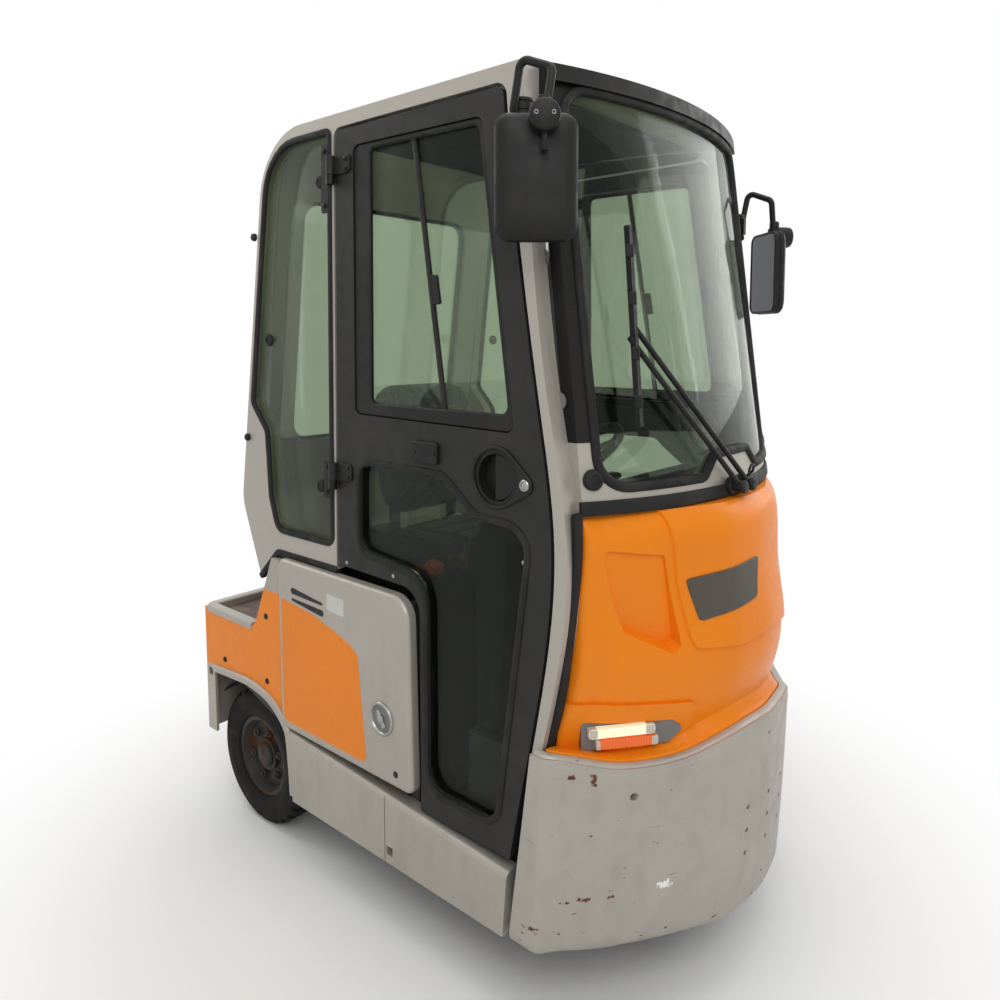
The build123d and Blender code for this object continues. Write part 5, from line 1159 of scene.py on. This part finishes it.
# Straight runs back to the pillars
for rows, run in ((roll, 0.025), (lip, 0.008)):
    rows.insert(0, [p - Vector((run, 0, 0)) for p in rows[0]])
    rows.append([p - Vector((run, 0, 0)) for p in rows[-1]])
edge_roll = Shape()
edge_roll.skin(roll)
edge_roll.piece("apron_top_roll", "apron", smooth=50.0)
bonnet_lip = Shape()
bonnet_lip.skin(lip)
bonnet_lip.piece("bonnet_lower_lip", "orange", smooth=50.0)

# Lamp units: clear end caps on the bars
for side, hand in SIDES:
    along = Vector((0.6138, -hand * 0.7895, 0))
    out = Vector((0.7895, hand * 0.6138, 0))
    origin = Vector((at(1.43234), hand * 0.31875, 0.627))
    lamp = Matrix.Translation(origin) @ Matrix((along, Vector((0, 0, 1)), out)).transposed().to_4x4()
    caps = Shape()
    for left, right, middle, proud in ((-0.1005, -0.08, 0.01, 0.0064), (0.0225, 0.0445, 0.01, 0.0064),
                                       (-0.084, -0.074, -0.0155, 0.0056), (0.036, 0.052, -0.0155, 0.0056)):
        block = oblong(left, right, middle - 0.0104, middle + 0.0104, 0.004, 4)
        caps.prism(block, lamp @ shift(0, 0, -0.0075), proud + 0.008, 0.002)
        caps.lathe([(0.0045, 0.0), (0.0045, 0.001), (0.003, 0.0016), (0.001, 0.0018)],
                   lamp @ shift((left + right) / 2, middle, proud + 0.0004), 14)
    caps.piece(f"lamp_end_caps_{side}", "lamp_cap")

# Roof: joint gaskets, screws and lining
gasket = Shape()
flat = mirrored([(-0.005, -0.003), (-0.005, 0.001), (-0.003, 0.0026)])
for side, hand in SIDES:
    path = [Vector((at(s), hand * 0.4146, CAB_HEIGHT - 0.003)) for s in (0.545, 0.8, 1.0, 1.232)]
    gasket.sweep(path, flat, False, Vector((0, 0, 1)))
path = [Vector((at(0.54), y, CAB_HEIGHT - 0.0015)) for y in (-0.41, 0.0, 0.41)]
gasket.sweep(path, flat, False, Vector((0, 0, 1)))
gasket.piece("roof_gaskets", "rubber")

screws = Shape()
for hand in (-1, 1):
    for s in (0.6, 0.76, 0.92, 1.08, 1.2):
        screws.lathe([(0.0065, -0.001), (0.0065, 0.0014), (0.0046, 0.003), (0.0014, 0.0034)],
                     face_frame((at(s), hand * 0.436, CAB_HEIGHT), (0, 0, 1), (1, 0, 0)), 16)
screws.piece("roof_screws", "steel")

lining = Shape()
panel = oblong(at(0.575), at(1.205), -0.392, 0.392, 0.05)
lining.prism(panel, shift(0, 0, 1.9556) @ Matrix.Rotation(math.pi, 4, "X"), 0.012, 0.006)
lining.piece("roof_lining_painted_shade", "lining")

# Inside: grab rail, instrument panel with blank display, switches, pedals and mat
rail = Shape()
for side, hand in SIDES:
    route = [(1.309, 0.424, 1.32), (1.303, 0.402, 1.326), (1.297, 0.393, 1.345), (1.281, 0.393, 1.465),
             (1.265, 0.393, 1.58),
             (1.262, 0.402, 1.6), (1.262, 0.422, 1.607)]
    route = [Vector((at(s), hand * y, z)) for s, y, z in route]
    rail.tube(smooth_line(route, 5), 0.011, 12)
    for end in (0, -1):
        rail.lathe([(0.02, -0.003), (0.02, 0.003), (0.014, 0.007), (0.0115, 0.008)],
                   face_frame(route[end] + Vector((0, hand * 0.001, 0)), (0, -hand, 0)), 20)
rail.piece("grab_rails", "grey")

slope = Vector((-0.894, 0, 0.447))
panel_frame = face_frame(Vector((at(1.072), -0.215, 1.004)), slope)
cluster = Shape()
plate = oblong(-0.165, 0.165, -0.046, 0.046, 0.016)
cluster.prism(plate, panel_frame, 0.01, 0.005)
for k in range(5):
    spot = panel_frame @ shift(-0.01 + 0.032 * k, -0.004, 0.0095)
    rocker = oblong(-0.0115, 0.0115, -0.019, 0.019, 0.003)
    cluster.prism(rocker, spot @ Matrix.Rotation(math.radians(9 if k % 2 else -9), 4, "X"), 0.007, 0.002)
cluster.lathe([(0.015, 0.009), (0.015, 0.014), (0.0125, 0.017), (0.004, 0.0175)],
              panel_frame @ shift(0.15, -0.026, 0), 24)
cluster.piece("dash_instrument_panel", "black")
screen = Shape()
screen.prism(oblong(-0.15, -0.038, -0.034, 0.034, 0.006),
             panel_frame @ shift(0, 0, 0.0095), 0.0022, 0.001)
screen.piece("dash_blank_display", "display")

pedals = Shape()
for y, width in ((-0.155, 0.075), (0.045, 0.095)):
    foot = Vector((at(1.018), y, 0.405))
    tread = face_frame(foot, (-0.8, 0, 0.6))
    pad = oblong(-width / 2, width / 2, -0.05, 0.05, 0.01)
    pedals.prism(pad, tread, 0.009, 0.003)
    for k in range(5):
        ridge = tread @ shift(0, -0.036 + 0.018 * k, 0.0085)
        pedals.prism(oblong(-width / 2 + 0.008, width / 2 - 0.008, -0.003, 0.003, 0.001), ridge, 0.004, 0.0015)
    arm = [foot, foot + Vector((0.018, 0, 0.04)), foot + Vector((0.034, 0, 0.1)), Vector((at(1.074), y, 0.535))]
    pedals.tube(smooth_line(arm, 5), 0.008, 10)
pedals.piece("pedals", "rubber")

mat = Shape()
sheet = oblong(0.92, 1.062, -0.405, 0.405, 0.03)
ground = shift(REAR_X, 0, 0.3082)
mat.prism(sheet, ground, 0.005, 0.002)
for k in range(40):
    y = -0.39 + 0.02 * k
    mat.prism(oblong(0.932, 1.05, y - 0.004, y + 0.004, 0.003, 2),
              ground @ shift(0, 0, 0.0045), 0.003, 0.0015)
mat.piece("floor_mat", "rubber")

shroud = Shape()
column = Vector((-math.sin(math.radians(40)), 0, math.cos(math.radians(40))))
spot = face_frame(Vector((at(1.098), 0, 1.02)), column, (0, 1, 0))
shroud.lathe([(0.056, 0.03), (0.054, 0.046), (0.044, 0.072), (0.04, 0.092), (0.038, 0.094), (0.0345,
                                                                                                    0.094)], spot, 32)
lever = spot @ shift(0, 0, 0.08)
reach = [lever @ Vector(p) for p in ((0.0, 0.038, 0.0), (0.0, 0.075, -0.004), (0.0, 0.115, -0.01), (0.0,
                                                                                                     0.15, -0.018))]
shroud.tube(smooth_line(reach, 5), 0.0065, 10)
shroud.lathe([(0.0085, 0.0), (0.0105, 0.01), (0.0105, 0.036), (0.0075, 0.044), (0.002, 0.046)],
             face_frame(reach[-1], reach[-1] - reach[-2], (1, 0, 0)), 16)
shroud.piece("steering_shroud", "black")

cap = Shape()
hub = face_frame(Vector((at(1.098), 0, 1.02)) + column * 0.12, column, (0, 1, 0))
cap.lathe([(0.0345, 0.012), (0.0345, 0.0165), (0.031, 0.0215), (0.02, 0.0245), (0.005, 0.0255)], hub, 32)
cap.piece("hand_wheel_cap", "black", "hand_wheel")

# Stop button: collar under its head
collar = Shape()
foot = Vector((at(0.842), -0.325, 0.8529))
lift = Vector((0.406, 0, 0.914)).normalized()
collar.ring([(0.029, -0.004), (0.029, 0.004), (0.025, 0.0075), (0.019, 0.008), (0.0165, 0.006), (0.0165,
                                                                                                       -0.004)],
            face_frame(foot, lift, (0, 1, 0)), 32)
collar.piece("stop_button_collar", "black")

# Seat: cushion and back blown up as cloth from the CAD solids, then sewn down along their channels
SEAT_CLOTH = {
    "quality": 6, "mass": 0.25, "tension_stiffness": 22.0, "compression_stiffness": 22.0, "bending_stiffness": 0.6,
    "use_pressure": True, "uniform_pressure_force": 4.0, "vertex_group_mass": "held",
}


def seat_pad(name, node, placing, height, sewn, limit):
    """A padded seat part in a frame whose Z leaves the side it rests on."""
    inward = placing.inverted()
    mesh = nodes[node].data.copy()
    mesh.materials.clear()
    points = [inward @ v.co for v in mesh.vertices]
    lows = [min(p[k] for p in points) for k in range(3)]
    highs = [max(p[k] for p in points) for k in range(3)]
    middle = Vector([(a + b) / 2 for a, b in zip(lows, highs)])
    for vertex, p in zip(mesh.vertices, points):
        p = Vector([middle[k] + (p[k] - middle[k]) * (1 - 0.024 / (highs[k] - lows[k])) for k in range(3)])
        p.z = lows[2] + (p.z - middle.z + (highs[2] - lows[2]) / 2 - 0.012) * 0.86 if p.z > middle.z else lows[2]
        vertex.co = p
    pad = new_object(name, mesh)
    remesh = pad.modifiers.new("remesh", "REMESH")
    remesh.mode = "VOXEL"
    remesh.voxel_size = 0.0055
    settle(pad)
    start = [v.co.copy() for v in pad.data.vertices]
    held = pad.vertex_groups.new(name="held")
    held.add([v.index for v in pad.data.vertices if v.co.z < lows[2] + 0.007], 1.0, "REPLACE")
    cloth = pad.modifiers.new("cloth", "CLOTH")
    for key, value in SEAT_CLOTH.items():
        setattr(cloth.settings, key, value)
    cloth.settings.effector_weights.gravity = 0.0
    cloth.point_cache.frame_start = 1
    cloth.point_cache.frame_end = 20
    for step in range(1, 21):
        bpy.context.scene.frame_set(step)
    settle(pad)
    for vertex, origin in zip(pad.data.vertices, start):
        move = vertex.co - origin
        if move.length > 1e-6:
            vertex.co = origin + move.normalized() * (limit * math.tanh(move.length / limit))
    bpy.context.scene.frame_set(1)
    pad.vertex_groups.clear()
    finer = pad.modifiers.new("finer", "SUBSURF")
    finer.levels = finer.render_levels = 1
    settle(pad)
    normals = [v.normal.copy() for v in pad.data.vertices]
    for vertex, normal in zip(pad.data.vertices, normals):
        p = vertex.co
        p = p - normal * sewn(p, normal)
        p.x = max(lows[0] - 0.004, min(highs[0] + 0.004, p.x))
        p.y = max(lows[1] - 0.004, min(highs[1] + 0.004, p.y))
        p.z = max(lows[2], min(lows[2] + height, p.z))
        vertex.co = placing @ p
    pad.data.materials.append(MATERIALS["cloth"])
    pad.data.shade_smooth()
    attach(pad, "chassis")
    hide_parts(node)


def settle(made):
    """Replace an object's mesh by what its modifiers make of it, and drop them."""
    graph = bpy.context.evaluated_depsgraph_get()
    result = bpy.data.meshes.new_from_object(made.evaluated_get(graph), depsgraph=graph)
    made.modifiers.clear()
    made.data = result


def groove(distance, depth, width=0.0055):
    return depth * math.exp(-(distance / width) ** 2)


def seams(bolster, lines, welt):
    """Depth of a pad's seams: two along the bolsters, channels across between them, and the welt round the side."""
    def depth(p, normal):
        if normal.z <= 0.35:
            return groove(p.z - welt, 0.004, 0.004)
        channels = [groove(abs(p.x) - bolster, 0.011)]
        if abs(p.x) < bolster:
            channels += [groove(p.y - line, 0.008) for line in lines]
        return max(channels) * min(1.0, (normal.z - 0.35) / 0.3)
    return depth


seat_frame = shift(at(0.685), 0, 0.824) @ Matrix(((0, 1, 0), (-1, 0, 0), (0, 0, 1))).to_4x4()
lean = math.radians(8)
back_frame = shift(at(0.5), 0, 0.9123) @ Matrix(
    ((0, -math.sin(lean), math.cos(lean)), (1, 0, 0), (0, math.cos(lean), math.sin(lean)))).to_4x4()
seat_pad("seat_cushion_pad", "seat_cushion", seat_frame, 0.0875,
         seams(0.138, (-0.12, -0.04, 0.04, 0.12), 0.052), 0.024)
seat_pad("seat_back_pad", "seat_back", back_frame, 0.086,
         seams(0.128, (0.085, 0.165, 0.245, 0.325), 0.046), 0.024)

shell = Shape()
tray = rounded([(-0.185, 0.018, 0.07), (0.185, 0.018, 0.07), (0.185, 0.392, 0.085), (-0.185, 0.392, 0.085)])
rows = []
for shrink, depth in ((0.0, 0.006), (0.0, -0.004), (0.006, -0.01), (0.03, -0.014), (0.09, -0.016)):
    rows.append([back_frame @ Vector((x, y, depth)) for x, y in inset(tray, shrink)])
shell.skin(rows)
for hand in (-1, 1):
    bar = [(0.514, 0.772), (0.486, 0.775), (0.472, 0.79), (0.466, 0.83), (0.468, 0.93), (0.471, 1.01)]
    path = smooth_line([Vector((at(s), hand * 0.12, z)) for s, z in bar], 5)
    shell.sweep(path, mirrored([(-0.02, -0.003), (-0.02, 0.003)]), False,
                Vector((1, 0, 0.001)))
shell.piece("seat_back_shell", "black")

# Camera as the photograph's, floor and light
camera = new_object("camera", bpy.data.cameras.new("camera"))
camera.location = (1.494, -1.683, 1.444)
yaw, pitch = math.radians(130.434), math.radians(-5.148)
look = Vector((math.cos(yaw) * math.cos(pitch), math.sin(yaw) * math.cos(pitch), math.sin(pitch)))
camera.rotation_euler = look.to_track_quat("-Z", "Y").to_euler()
camera.data.sensor_width = 36.0
camera.data.lens = 28.384
camera.data.shift_x = -0.0098
camera.data.shift_y = -0.0899
camera.data.clip_start = 0.05
bpy.context.scene.camera = camera

world = bpy.data.worlds.new("studio")
world.use_nodes = True
bpy.context.scene.world = world
sky = world.node_tree.nodes["Background"]
sky.inputs["Color"].default_value = rgb(1.0, 1.0, 1.0)
m = Nodes(world.node_tree)
m.feed(sky.inputs["Strength"], m.ramp(m.seen(), 0.0, 1.0, 0.42, 1.0))

floor_mesh = bpy.data.meshes.new("floor")
floor_mesh.from_pydata([(-30, -30, 0), (30, -30, 0), (30, 30, 0), (-30, 30, 0)], [], [(0, 1, 2, 3)])
floor = new_object("floor", floor_mesh)
m = Material("floor_white")
m.put("Base Color", rgb(0.94, 0.94, 0.93))
m.put("Roughness", 0.9)
reach = m.add("VectorMath", {0: m.where}, operation="LENGTH").outputs["Value"]
fade = m.calc("MULTIPLY", m.ramp(reach, 0.75, 1.75), m.seen())
glow = m.add("Emission", {"Color": rgb(1, 1, 1), "Strength": 1.0})
blend = m.add("MixShader", {0: fade, 1: m.bsdf.outputs[0], 2: glow.outputs[0]})
m.feed(m.tree.nodes["Material Output"].inputs["Surface"], blend.outputs[0])
floor_mesh.materials.append(m.data)

LAMPS = [
    ("key", (2.6, -2.6, 3.6), 2.4, 62.0),
    ("fill", (1.8, 3.0, 2.6), 2.6, 34.0),
    ("back", (-3.0, -0.6, 3.4), 2.6, 40.0),
    ("top", (0.2, 0.0, 4.6), 3.2, 46.0),
]
for name, spot, size, power in LAMPS:
    lamp = new_object(name, bpy.data.lights.new(name, "AREA"))
    lamp.data.size = size
    lamp.data.energy = power
    lamp.location = spot
    lamp.rotation_euler = (Vector((0, 0, 0.9)) - Vector(spot)).to_track_quat("-Z", "Y").to_euler()

bpy.context.scene.view_settings.view_transform = "Standard"
